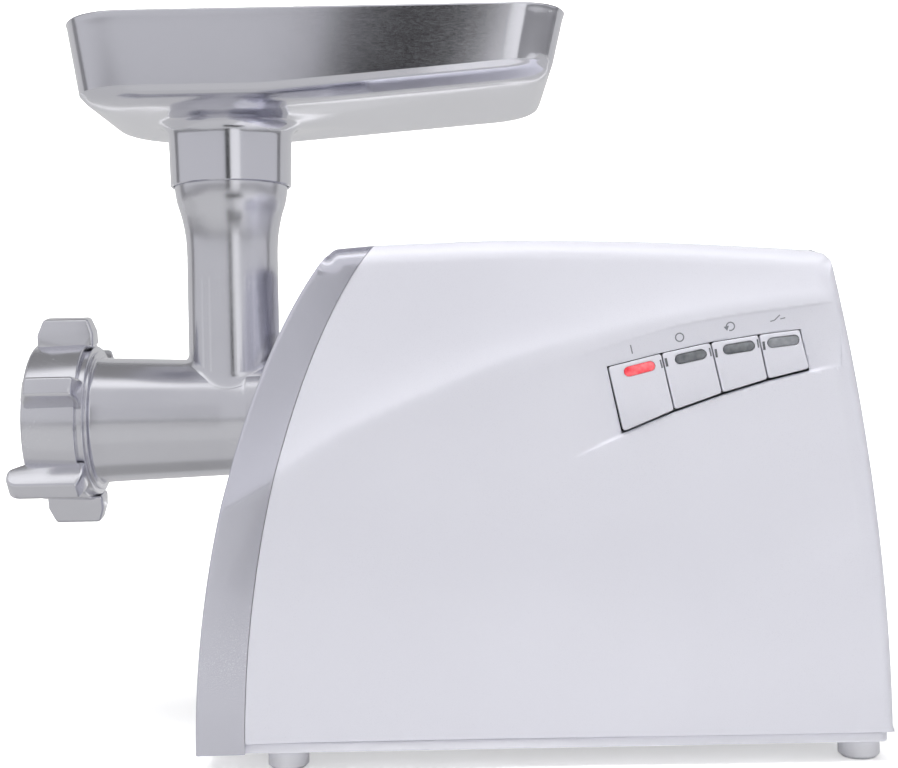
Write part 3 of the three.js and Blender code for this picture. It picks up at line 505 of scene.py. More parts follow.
def fading_fold(distance, width, slope, reach):
    """A fold that starts softly, has its slope after a width, and levels out over a reach."""
    d = np.maximum(distance, 0)
    start = np.where(d < width, d ** 2 / (2 * width), d - width / 2)
    return slope * reach * (1 - np.exp(-start / reach))


def hollow(x, z):
    """How far the side is drawn in above and below its crease; low at the rear it comes out again."""
    above = z - z_at(CREASE, x)
    below = z_at(LOWER, x) - z
    upper = fading_fold(above, **ABOVE_CREASE)
    band = fading_fold(-above, **BELOW_CREASE) * smooth((x + 104) / 60)
    back_out = fading_fold(below, **BELOW_LOWER) * smooth((x - 10) / 120)
    return np.maximum(upper + band - back_out, 0)


def recess_depth(x, z):
    """The shallow wedge around the buttons: deepest along their feet, gone at both of its ends."""
    foot, head = z_at(RECESS_FOOT, x), z_at(RECESS_HEAD, x)
    across = np.clip((z - foot) / (head - foot), 0, 1)
    ends = (smooth((x - RECESS["left"]) / RECESS["left_run"])
            * smooth((RECESS["right"] - x) / RECESS["right_run"]))
    steps = (smooth((z - foot) / RECESS["foot_step"])
             * smooth((head - z) / RECESS["head_step"]))
    rim = RECESS["rim"] * smooth((x - 95) / 40)
    return ends * steps * (RECESS["depth"] * (1 - across) ** 0.8 + rim)


def face_y(x, z):
    """The outer surface of the control side."""
    x, z = np.array(x), np.array(z)
    return -HALF_WIDTH + float(hollow(x, z) + recess_depth(x, z))


def nearest(outline, x, z):
    """Distance of points to an open outline, and the outline's inward direction there."""
    best, inward_x, inward_z = np.full(x.shape, 1e9), np.zeros(x.shape), np.zeros(x.shape)
    for (ax, az), (bx, bz) in zip(outline[:-1], outline[1:]):
        ux, uz = bx - ax, bz - az
        length = hypot(ux, uz)
        if length < 1e-6:
            continue
        t = np.clip(((x - ax) * ux + (z - az) * uz) / length ** 2, 0, 1)
        distance = np.hypot(x - ax - t * ux, z - az - t * uz)
        closer = distance < best
        best = np.where(closer, distance, best)
        inward_x = np.where(closer, uz / length, inward_x)
        inward_z = np.where(closer, -ux / length, inward_z)
    return best, inward_x, inward_z


def distance_to(outline, x, z):
    """Distance of points to an open outline."""
    return nearest(outline, x, z)[0]


def inner_wall(points, thickness):
    """The inside of a wall: moved off the side inside its plane, and off the outline at its edge."""
    x, y, z = points.T
    distance, inward_x, inward_z = nearest(OUTLINE, x, z)
    flat = np.clip(distance / EDGES["top"], 0, 1)
    shift = thickness * (1 - flat)
    side = np.sign(y) * np.minimum(thickness * flat, np.abs(y))
    return np.stack([x + inward_x * shift, y - side, z + inward_z * shift], 1)


def rounding(curve, radius, x, z):
    """How far a rounded edge along a curve draws the side in."""
    inside = np.clip(distance_to(curve, x, z), 0, radius)
    return radius - np.sqrt(np.maximum(radius ** 2 - (radius - inside) ** 2, 0))


def side_y(x, z):
    """Half width of the housing at a place: its rounded edges, and its folds, which end at the rear."""
    edges = [rounding(SIDES[k], EDGES[k], x, z) for k in ("front", "top", "rear")]
    fade = smooth(distance_to(SIDES["rear"], x, z) / FOLD_FADE)
    return HALF_WIDTH - np.maximum.reduce(edges) - hollow(x, z) * fade


def crowded(count, start, end):
    """Steps from 0 to 1 that are closer together near the ends that are asked for."""
    t = np.linspace(0, 1, count)
    if start and end:
        return 0.5 - 0.5 * np.cos(pi * t)
    return 1 - np.cos(pi / 2 * t) if start else np.sin(pi / 2 * t) if end else t


def patch(left, right, top, bottom, columns, rows):
    """A grid of (x, z) places between two upright curves, under a top curve."""
    start = np.argmin(np.hypot(*(top - left[-1]).T))
    end = np.argmin(np.hypot(*(top - right[-1]).T))
    line = top[start:end + 1]
    length = np.append(0, np.cumsum(np.hypot(*np.diff(line, axis=0).T)))
    tx, tz = (np.interp(columns * length[-1], length, line[:, k]) for k in (0, 1))
    share = (tx - x_at(left, tz)) / (x_at(right, tz) - x_at(left, tz))
    z = bottom + rows[:, None] * (tz - bottom)[None]
    x = x_at(left, z) * (1 - share) + x_at(right, z) * share
    return np.stack([x, z], -1)


def shell(name, grids, material, body, stands_for, slot, thickness=WALL):
    """A wall whose outside is made of grids of points."""
    bm = bmesh.new()
    for grid, flip in grids:
        rows, columns = grid.shape[:2]
        corners = [bm.verts.new(tuple(p)) for p in grid.reshape(-1, 3)]
        for face in grid_faces(rows, columns):
            bm.faces.new([corners[k] for k in (face[::-1] if flip else face)])
    bmesh.ops.remove_doubles(bm, verts=bm.verts, dist=0.003)
    bm.verts.index_update()
    outside = np.array([v.co[:] for v in bm.verts])
    faces = [tuple(v.index for v in face.verts) for face in bm.faces]
    loops = [edge.link_loops[0] for edge in bm.edges if len(edge.link_loops) == 1]
    rims = [(loop.vert.index, loop.link_loop_next.vert.index) for loop in loops]
    bm.free()
    count = len(outside)
    points = np.vstack([outside, inner_wall(outside, thickness)])
    faces += [tuple(i + count for i in face[::-1]) for face in faces]
    faces += [(b, a, a + count, b + count) for a, b in rims]
    return make(name, points, faces, material, body, stands_for, slot, 35)


def with_y(grid, side):
    """A grid of (x, z) places put on one side of the housing; side is -1 or 1."""
    x, z = grid[..., 0], grid[..., 1]
    return np.stack([x, side * side_y(x, z), z], -1)


def strip(edge, y_to, count):
    """A grid that runs from a surface's edge, a line of points, across to another y."""
    t = np.linspace(0, 1, count)[:, None]
    grid = np.repeat(edge[None], count, 0)
    grid[..., 1] = edge[None, :, 1] * (1 - t) + y_to * t
    return grid


def side_shell(name, side):
    """Half of the white housing: its side, and its half of the top and the rear."""
    moved = SEAM + np.array([SEAM_GAP, 0])
    grid = patch(moved, REAR, TOP, HOUSING_BOTTOM, crowded(190, False, True),
                 crowded(130, False, True))
    face = with_y(grid, side)
    over = strip(face[-1], side * 0.15, 24)
    back = strip(face[:, -1][::-1], side * 0.15, 24)
    return shell(name, [(face, side > 0), (over, side > 0), (back, side > 0)], WHITE, "housing",
                 [name], "white_shell")


housing_control = side_shell("housing_control_side", -1)
housing_far = side_shell("housing_far_side", 1)


def front_shell():
    """The silver fascia: one skin from side to side, with a strip of each side and of the top."""
    grid = patch(FRONT, SEAM, TOP, FASCIA_BOTTOM, crowded(40, True, False), crowded(130, False, True))
    near, far = with_y(grid, -1), with_y(grid, 1)
    front, over = (strip(a, b[None, :, 1], 60)
                   for a, b in ((near[:, 0], far[:, 0]), (near[-1], far[-1])))
    return shell("front_fascia", [(near, False), (far, True), (front, False), (over, False)],
                 SILVER, "housing", ["front_fascia"], "silver_fascia")


fascia = front_shell()

# ------ camera, light and floor
# Place in millimetres, roll in radians, focal length for a 36 mm sensor.
CAMERA = {"x": 8.2, "y": -732.5, "z": 171.5, "roll": -0.0192, "lens": 58.73}


def add_camera():
    """A camera placed as the photograph's was: it looks along +Y and is rolled by a degree."""
    data = bpy.data.cameras.new("camera")
    data.lens = CAMERA["lens"]
    camera = add_object("camera", data)
    camera.location = [CAMERA[k] * MM for k in "xyz"]
    look = Matrix.Rotation(pi / 2, 4, "X") @ Matrix.Rotation(CAMERA["roll"], 4, "Z")
    camera.rotation_euler = look.to_euler()
    data.clip_start, data.clip_end = 0.01, 20
    SCENE.camera = camera


def aimed(obj, place, aim):
    """Puts an object at a place, in metres, and turns its -Z towards an aim."""
    obj.location = place
    obj.rotation_euler = (Vector(aim) - Vector(place)).to_track_quat("-Z", "Y").to_euler()


def area_light(name, place, aim, size, power, spread_angle=180):
    """A soft lamp in watts that mirrors do not show."""
    data = bpy.data.lights.new(name, "AREA")
    data.shape = "RECTANGLE"
    data.size, data.size_y = size
    data.energy = power
    data.spread = radians(spread_angle)
    light = add_object(name, data)
    light.visible_glossy = False
    aimed(light, place, aim)


def camera_lift(nodes, strength):
    """A strength that is higher for the camera's own rays."""
    path = nodes.new("ShaderNodeLightPath")
    lift = nodes.new("ShaderNodeMath")
    lift.operation = "MULTIPLY_ADD"
    fill(lift, {0: path.outputs["Is Camera Ray"], 1: CAMERA_LIFT, 2: strength})
    return lift.outputs["Value"]


def add_stage():
    """A pale floor that sweeps up into the backdrop."""
    bend_start, bend, reach, height = 800, 1200, 7000, 6000
    sweep = [(-6000, 0), (bend_start, 0)]
    sweep += [(bend_start + bend * sin(t), bend - bend * cos(t))
              for t in np.linspace(0.1, pi / 2, 14)]
    sweep += [(bend_start + bend, height)]
    points = [(x, y, z) for y, z in sweep for x in (-reach, reach)]
    material, nodes, shader = tree("pale_floor")
    fill(shader, {"Base Color": (0.93, 0.93, 0.93, 1), "Roughness": 0.7,
                  "Emission Color": (1, 1, 1, 1), "Emission Strength": camera_lift(nodes, 0)})
    make("floor", points, grid_faces(len(sweep), 2), material, None)


def card(name, place, aim, size, tone):
    """A flat card that is only seen in reflections."""
    half_x, half_y = (side / 2 / MM for side in size)
    material, _, shader = tree(name)
    fill(shader, {"Base Color": (0, 0, 0, 1), "Emission Color": (tone, tone, tone, 1),
                  "Emission Strength": 1})
    shader.inputs["Specular IOR Level"].default_value = 0
    obj = make(name, rectangle(-half_x, -half_y, half_x, half_y, 0), [(0, 1, 2, 3)], material, None)
    aimed(obj, place, aim)
    obj.visible_camera = obj.visible_diffuse = obj.visible_shadow = False


def add_world(for_surfaces, for_mirrors):
    """An even studio light, with a strength for matt surfaces and another for mirrors."""
    world = bpy.data.worlds.new("studio")
    SCENE.world = world
    world.use_nodes = True
    nodes = world.node_tree.nodes
    mirrored = nodes.new("ShaderNodeLightPath").outputs["Is Glossy Ray"]
    strength = add_node(nodes, "MapRange", {"Value": mirrored, "To Min": for_surfaces,
                                            "To Max": for_mirrors})
    fill(nodes["Background"], {"Color": (0.97, 0.97, 1, 1),
                               "Strength": camera_lift(nodes, strength.outputs["Result"])})


def add_lights():
    """Lamps for the matt surfaces and cards for the mirrors; places and sizes are in metres."""
    add_world(0.24, 0.69)
    centre = (0, 0, 0.17)
    area_light("key_top", (-0.1, -0.42, 1.3), centre, (1.6, 0.5), 16.2)
    area_light("front_left", (-1.2, -1.3, 0.8), centre, (0.5, 1.2), 1.8)
    area_light("front_right", (1.3, -1.3, 0.7), centre, (0.5, 1.2), 2.6)
    area_light("back_wash", (0, 1.0, 2.1), (0, 2.1, 0.3), (3.0, 0.8), 32, spread_angle=110)
    card("strip_card", (0, -0.42, 1.3), (0, 0, 0.15), (2.4, 0.34), 1.25)
    card("overhead_card", (0, 0.35, 1.6), (0, 0, 0), (2.6, 1.1), 0.30)
    card("back_card", (0, 0.95, 0.62), (0, 0, 0.62), (4.0, 1.20), 0.66)
    card("floor_card", (0, 0.37, 0.002), (0, 0.37, 1), (4.0, 1.14), 0.62)
    card("front_floor_card", (-0.64, -0.9, 0.003), (-0.64, -0.9, 1), (1.34, 1.4), 0.68)
    # A grey card on the floor under the head, seen only in reflections: a painted shadow that stands in
    # for the floor's shade beneath the head.
    card("head_shadow_card", (-0.16, 0.025, 0.006), (-0.16, 0.025, 1), (0.24, 0.09), 0.40)
    card("camera_card", (-0.02, -1.6, 0.45), (-0.02, 0, 0.45), (0.25, 1.0), 0.03)
    card("right_card", (0.36, -1.6, 0.6), (0.1, 0, 0.4), (0.56, 1.2), 1.05)
    card("low_card", (0.10, -0.80, 0.006), (0.10, -0.80, 1), (0.50, 0.4), 0.06)
    SCENE.view_settings.view_transform = "Standard"


add_camera()
add_stage()
add_lights()

# ------ base, feet and small housing parts
def add_base():
    """The base plate with its air slots and screw wells, the feet, and the cord gland."""
    front, rear = low("base_plate"), high("base_plate")
    outline = rounded([(front.x, front.y, 9), (rear.x, front.y, 3.5), (rear.x, rear.y, 3.5),
                       (front.x, rear.y, 9)], 8)
    base = make("base_plate_skin", *plate(outline, front.z, rear.z, "z", 1.0), BASE, "housing",
                ["base_plate"], "grey_plastic")
    slot_width, slot_half = 5, 34
    for x in range(40, 106, 11):
        slot = rounded(rectangle(x, -slot_half, x + slot_width, slot_half, 2.4))
        cut(base, plate(slot, 0, 30, "z"))
    for name in (n for n in NODES if n.startswith("foot_")):
        middle = centre_of(name)
        cut(base, rod(4.5, 0, 30, middle[:2], "z", 40))
        top = high(name).z
        profile = rounded([(0, 0), (7.2, 0, 0.9), (9.25, 1.7, 1.0), (9.25, 8.5, 0.5), (4, 8.5),
                           (4, top), (0, top)])
        make(name + "_rubber", *turned(profile, middle[:2], "z", 64), RUBBER, "housing", [name],
             "rubber_foot")
    for name in (n for n in NODES if n.startswith("base_screw_")):
        middle = centre_of(name)
        well = [(4.6, 0), (4.6, 11.2), (2.3, 11.2), (2.3, 30)]
        cut(base, solid_of_turn(well, middle[:2], "z", 40))
        base_z, top = low(name).z, high(name).z
        profile = rounded([(0, base_z + 0.7), (1.4, base_z + 0.7), (1.6, base_z), (3.6, base_z, 0.3),
                           (4, base_z + 0.6, 0.3), (4, base_z + 1.7), (1.8, base_z + 1.7),
                           (1.8, top - 2), (0.4, top), (0, top)])
        make(name + "_turned", *turned(profile, middle[:2], "z", 32), STEEL, "housing", [name], "steel")
    bevelled(base, 0.4)

    gland = centre_of("cord_gland")
    start, end = low("cord_gland").x, high("cord_gland").x
    profile = rounded([(3.6, start, 0.4), (8, start, 0.6), (8, end, 0.8), (5.2, end, 0.8),
                       (3.6, end - 1.8, 0.8)])
    make("cord_gland_ring", *turned(profile, gland.yz, "x", 64), BLACK, "housing",
         ["cord_gland"], "black_plastic")
    cut(housing_far, rod(8.3, 185, 215, gland.yz))


def sector(inner, outer, middle, half_angle, steps):
    """A part of a ring round the head's axis, in yz; angles are in degrees."""
    turns = [radians(middle - half_angle + 2 * half_angle * k / steps) for k in range(steps + 1)]
    outline = [(-outer * cos(t), HEAD_Z + outer * sin(t)) for t in turns]
    return outline + [(-inner * cos(t), HEAD_Z + inner * sin(t)) for t in turns[::-1]]


def add_socket():
    """The round cup in the fascia that takes the head, with its bayonet throat."""
    radius, pocket, floor_x, bore, groove, rear_x = 41.7, 39.4, -75.5, 30.3, 34.7, -50
    profile = rounded([(pocket, -125), (radius, -125), (radius, rear_x, 1), (bore, rear_x, 1),
                       (bore, -61.9), (groove, -61.9), (groove, -70.1), (bore, -70.1),
                       (bore, floor_x, 1.2), (pocket, floor_x, 2.5)])
    socket = make("head_socket_cup", *turned(profile, AXIS, "x", 128), CAST, "housing",
                  ["head_socket"], "cast_metal")
    block = plate([(-130, -30), *OUTLINE, (210, -30)], -78, 78)
    combine(socket, block, "INTERSECT")
    for angle in BAYONET_ANGLES:
        cut(socket, plate(sector(20, groove, angle - HEAD_TWIST, 17, 12), -90, -68, "x"))
    cut(socket, plate(rectangle(30.5, 152.8, 46, 170.8), -63, -40, "x"))
    bevelled(socket, 0.35)
    cut(fascia, rod(radius + 0.35, -140, -45, AXIS, "x", 128))
    release = centre_of("release_button")
    cut(fascia, rod(8.4, -140, -60, release.yz))
    profile = rounded([(0, -82.2), (4.5, -82.6, 3), (6.4, -83, 0.8), (8, -81.4, 0.8), (8, -70, 0.5),
                       (3, -70), (3, -63), (0, -63)])
    make("release_button_cap", *turned(profile, release.yz, "x", 64), GREY, "release",
         ["release_button"], "grey_plastic")


add_base()
add_socket()


# ------ grinding head
def saddle_z(radius, turn):
    """Height at which a ring round the neck meets the barrel."""
    return HEAD_Z + sqrt(max(BARREL_RADIUS ** 2 - (radius * sin(turn)) ** 2, 4))


def neck_root(steps=12, count=96):
    """The soft root between the neck and the barrel: a saddle with a curved flank."""
    rings = []
    for k in range(steps + 4):
        ring = []
        for i in range(count):
            turn = 2 * pi * i / count
            across = sin(turn) ** 2
            foot = NECK_RADIUS + 3 * (1 - across) + 2.5 * across
            start = (foot, saddle_z(foot, turn) - 0.5)
            middle = (NECK_RADIUS, saddle_z(NECK_RADIUS, turn))
            end = (NECK_RADIUS - 0.1, middle[1] + 4)
            if k == 0:
                radius, z = 12, HEAD_Z + 3
            elif k == 1:
                radius, z = foot - 2, HEAD_Z + 3
            elif k == steps + 3:
                radius, z = 12, end[1]
            else:
                t = (k - 2) / steps
                radius, z = ((1 - t) ** 2 * start[n] + 2 * t * (1 - t) * middle[n] + t * t * end[n]
                             for n in (0, 1))
            ring.append((NECK_X + radius * cos(turn), radius * sin(turn), z))
        rings.append(ring)
    return stack(rings)


def add_head():
    """The casting: threaded collar, flange, barrel with bayonet lugs, and neck with a soft root."""
    thread = [(THREAD["radius"] + THREAD["depth"] * cos(2 * pi * x / THREAD["pitch"]), x)
              for x in np.linspace(THREAD["front"], THREAD["rear"], 72)]
    barrel = rounded([(0, -191), (34.6, -191, 0.6), *thread, (35.5, -170.6), (36.9, -170.2, 0.5),
                      (36.9, -166.4, 0.7), (34.3, -166.4, 0.3), (34.3, -165.0, 0.7),
                      (31.3, -165.0, 1.2), (30.8, -158), (29.4, -121), (28.7, -103), (28.7, -92),
                      (29.6, -90, 0.5), (29.6, -55, 0.8), (0, -55)], 8)
    head = make("grinder_head_casting", *turned(barrel, AXIS, "x", 144), CAST, "head",
                ["grinder_head"], "cast_metal", sharp=38)
    flare = spline([(NECK_RADIUS, 225), (NECK_RADIUS, 238), (23.0, 247), (24.6, 256), (26.9, 264),
                    (27.8, 269.5), (28.0, 273)], 40)
    neck = [(0, HEAD_Z), (NECK_RADIUS, HEAD_Z), *flare, (28, 296.3), (27.4, 297), (0, 297)]
    join(head, turned(neck, (NECK_X, 0), "z", 128))
    join(head, neck_root())
    for angle in BAYONET_ANGLES:
        join(head, plate(sector(28.6, 34.2, angle, 14, 10), -69.6, -62.4, "x", 0.5))
    bore = [(0, -400), (27.3, -400), (27.3, -186.9), (25.3, -186.9), (25.3, -90.9), (9.4, -90.9),
            (9.4, -83), (17, -83), (17, 0), (0, 0)]
    cut(head, turned(bore, AXIS, "x", 96))
    widening = spline([(19.6, 246), (21, 254), (23.4, 262), (24.5, 268), (24.5, 280)], 16)
    funnel = [(0, HEAD_Z), (19.5, HEAD_Z), (19.5, 244), *widening, (24.5, 400), (0, 400)]
    cut(head, turned(funnel, (NECK_X - 1.2, 0), "z", 96))
    cut(head, plate(rectangle(-2.4, 127, 2.4, 135), -210, -186.9, "x"))
    shade(head, 34)


def turned_about_head(obj, angle):
    """Turns a helper about the head's axis; 0 is the control side and 90 is up."""
    place = Matrix.Translation((0, 0, HEAD_Z * MM))
    obj.data.transform(place @ Matrix.Rotation(-radians(angle), 4, "X") @ place.inverted())
    return obj


def add_nut():
    """The ring nut: a band with six lugs, one of them longer than the rest."""
    radius, bore, lip, face = NUT["radius"], NUT["bore"], NUT["lip"], NUT["face"]
    band = rounded([(lip, face, 0.6), (lip, NUT_FRONT, 1.6), (radius - 1, NUT_FRONT, 2.2),
                    (radius, NUT_REAR, 0.8), (bore + 0.5, NUT_REAR, 0.5), (bore, face, 0.8)], 6)
    nut = make("ring_nut_casting", *turned(band, AXIS, "x", 144), CAST, "nut", ["ring_nut"],
               "cast_metal", sharp=38)
    root, tip, half = LUG["root"], LUG["tip"], LUG["half_width"]
    for angle in LUG_ANGLES:
        front = [(LUG["front"], 44), (LUG["front"] + 3.2, tip)]
        if angle == LUG["long_angle"]:
            front = [(LUG["long_front"], 41.5, 3.5), (LUG["long_front"], tip, 6)]
        outline = rounded([(LUG["front"], root), *front, (LUG["rear"] - 2.4, tip),
                           (LUG["rear"], 44.5), (LUG["rear"], root)], 5)
        points, faces = plate([(x, -r) for x, r in outline], -half, half, "z")
        points = [(x, y, HEAD_Z + z * (1 - LUG["narrowing"] * (-y - root) / (tip - root)))
                  for x, y, z in points]
        lug = bevelled(tool((points, faces)), 1.5, 4, 24)
        join(nut, turned_about_head(lug, angle))
    inside = [(0, -400), (lip, -400), (lip, face), (bore, face), (bore, -100), (0, -100)]
    cut(nut, turned(inside, AXIS, "x", 144))
    shade(nut, 34)


def add_plate():
    """The cutting plate with its rings of holes."""
    front, rear, radius = low("cutting_plate").x, high("cutting_plate").x, 26.9
    disc = rounded([(4.3, front, 0.3), (radius, front, 0.5), (radius, rear, 0.5), (4.3, rear, 0.3)], 3)
    sieve = make("cutting_plate_disc", *turned(disc, AXIS, "x", 128), STEEL, "plate",
                 ["cutting_plate"], "steel")
    holes = []
    for count, at in ((6, 8.2), (11, 14), (16, 20)):
        for i in range(count):
            turn = 2 * pi * (i + 0.5) / count
            place = (at * cos(turn), HEAD_Z + at * sin(turn))
            holes.append(rod(2.35, front - 3, rear + 3, place, "x", 20))
    cut(sieve, merged(holes))
    bevelled(sieve, 0.15, 1)


def add_auger():
    """The feed screw: one flight wound round a core, with square ends, a journal and a front pin."""
    radius, core, pitch = 24.4, 10.0, 31.0
    start, end = high("knife").x + 0.3, -91.5
    flight = 34  # degrees that the flight takes up round the core
    angles = [radians(a) for a in
              [*np.linspace(-0.5 * flight, 0.5 * flight, 12), *np.linspace(flight, 360 - flight, 40)]]
    radii = [radius] * 12 + [core] * 40
    rings = []
    for x in np.linspace(start, end, 200):
        turn = 2 * pi * (x - start) / pitch
        rings.append([(x, r * cos(a + turn), HEAD_Z + r * sin(a + turn))
                      for a, r in zip(angles, radii)])
    screw = make("auger_screw", *stack(rings), CAST, "auger_set", ["auger"], "cast_metal")
    join(screw, rod(9, end - 1, -82.5, AXIS))
    shank, pilot = (rectangle(-half, HEAD_Z - half, half, HEAD_Z + half) for half in (6.3, 4.2))
    join(screw, plate(shank, -83, -62.5, "x", 0.6))
    join(screw, plate(pilot, low("knife").x - 0.1, start + 1, "x"))
    pin = [(3.4, -192.6), (3.9, -192.0), (3.9, low("knife").x)]
    join(screw, solid_of_turn(pin, AXIS, "x", 48))
    bevelled(screw, 0.4, 1, 50)


add_head()
add_nut()
add_plate()
add_auger()


# ------ feed tray
def tray_ring(x0, x1, half, front, rear, height, rise):
    """A rounded rectangle in plan, from one of its rear corners round; it rises behind x=-74."""
    ring = []
    corners = [(x1 - rear, -half + rear, rear, -90), (x1 - rear, half - rear, rear, 0),
               (x0 + front, half - front, front, 90), (x0 + front, -half + front, front, 180)]
    steps = [16, 44, 16, 44]
    arcs = []
    for cx, cy, corner, start in corners:
        turns = [radians(start + 90 * k / 14) for k in range(15)]
        arcs.append([(cx + corner * cos(t), cy + corner * sin(t)) for t in turns])
    for i, arc in enumerate(arcs):
        ring += arc
        a, b = Vector(arc[-1]), Vector(arcs[(i + 1) % 4][0])
        ring += [tuple(a.lerp(b, k / steps[i])) for k in range(1, steps[i])]
    return [(x, y, height + rise * max(0, x + 74)) for x, y in ring]


def add_tray():
    """The tray: one skin up its collar and its outside, over the lip and down to its throat.

    A level holds front x, rear x, half width, front and rear corner radius, height and rise.
    """
    floor_z, slope, wall = 302.4, 0.075, 1.8
    x0, x1, half, top = TRAY_LOW.x, TRAY_HIGH.x, TRAY_HIGH.y, TRAY_HIGH.z
    levels = [(-135, 46, 48, 24, 14, 0, slope), (-150, 53, 57, 28, 17, 1, slope),
              (-159.5, 57.5, 64.5, 30, 20, 3.6, slope), (-163.8, 59.6, 68, 31, 21, 7.6, slope)]
    curved = spline(levels, 22)
    rim = np.array((x0, x1, half, 32, 22, top - floor_z, 0))

    def ring(level, inset, lift):
        a, b, y, front, rear, height, rise = level
        return tray_ring(a + inset, b - inset, y - inset, front - inset, rear - inset,
                         floor_z + height + lift, rise)

    def wall_rings(inset, lift):
        lower = [ring(level, inset, lift) for level in curved]
        crease = curved[-1]
        upper = []
        for t in np.linspace(0, 1, 10)[1:]:
            level = crease * (1 - t) + rim * t
            upper.append(ring(level, inset, (lift if t < 1 else 0) - (1.0 if t == 1 else 0)))
        return lower + upper

    first = tray_ring(*levels[0][:5], 0, 0)
    turns = [atan2(y, x - NECK_X) for x, y, _ in first]

    def circle(radius, z):
        return [(NECK_X + radius * cos(t), radius * sin(t), z) for t in turns]

    lip = [ring(rim, inset, -drop) for inset, drop in
           ((0.0, 0.9), (0.25, 0.35), (0.6, 0.08), (1.1, 0.0), (1.5, 0.15), (1.8, 0.6))]
    outer = wall_rings(0, 0)
    inner = wall_rings(wall, wall)
    collar = [(28.4, 272.2), (28.7, 271.7), (29.4, 271.7), (29.8, 272.1), (30.1, 283), (30.45, 294.5),
              (30.8, 297.2), (31.8, 299.6), (33.6, 301.4), (36.4, 302.3)]
    throat = [(33, 304.2), (27.2, 304.2), (25.4, 303.6), (24.5, 302.2), (24.4, 300), (24.4, 297.4),
              (28.4, 297.4)]

    def between(first_ring, last_ring, shares):
        return [[tuple((1 - t) * a + t * b for a, b in zip(p, q))
                 for p, q in zip(first_ring, last_ring)] for t in shares]

    outside = between(circle(*collar[-1]), outer[0], (0.25, 0.5, 0.75))
    inside = between(circle(*throat[0]), inner[0], (0.75, 0.5, 0.25))
    rings = ([circle(*c) for c in collar] + outside + outer + lip + inner[::-1] + inside
             + [circle(*c) for c in throat])
    make("feed_tray_pan", *stack(rings, loop=True), TRAY, "tray", ["feed_tray"], "tray_metal",
         sharp=28)


add_tray()


# ------ push buttons
BUTTON_TOPS = [(78.5, 177.8), (102.4, 183.4), (124.3, 187.8), (145.6, 190.8), (164, 192.8)]
BUTTON_FEET = [(84.9, 148.7), (107.8, 157.9), (129.2, 165.1), (149.5, 170.9), (168, 175.2)]
BUTTON_FACE = -(HALF_WIDTH - 0.75)


def recess_shape():
    """A cutting solid whose inner face is the hollow around the buttons."""
    rows, columns = 40, 90
    across = np.linspace(RECESS["left"], RECESS["right"], columns)
    v = smooth(np.linspace(0, 1, rows))[:, None]
    zs = z_at(RECESS_FOOT, across) * (1 - v) + z_at(RECESS_HEAD, across) * v
    xs = np.broadcast_to(across, zs.shape)
    depth = recess_depth(xs, zs)
    ys = -HALF_WIDTH + hollow(xs, zs) + np.where(depth < 0.01, -0.05, depth)
    outside = np.full(zs.shape, -HALF_WIDTH - 3)
    points, faces = [], []
    for level in (outside, ys):
        faces += grid_faces(rows, columns, len(points))
        points += [tuple(p) for p in np.stack([xs, level, zs], -1).reshape(-1, 3)]
    shift = rows * columns
    edge = list(range(columns)) + [i * columns + columns - 1 for i in range(1, rows)]
    edge += [(rows - 1) * columns + j for j in range(columns - 2, -1, -1)]
    edge += [i * columns for i in range(rows - 2, 0, -1)]
    for a, b in zip(edge, edge[1:] + edge[:1]):
        faces.append((a, b, b + shift, a + shift))
    return points, faces


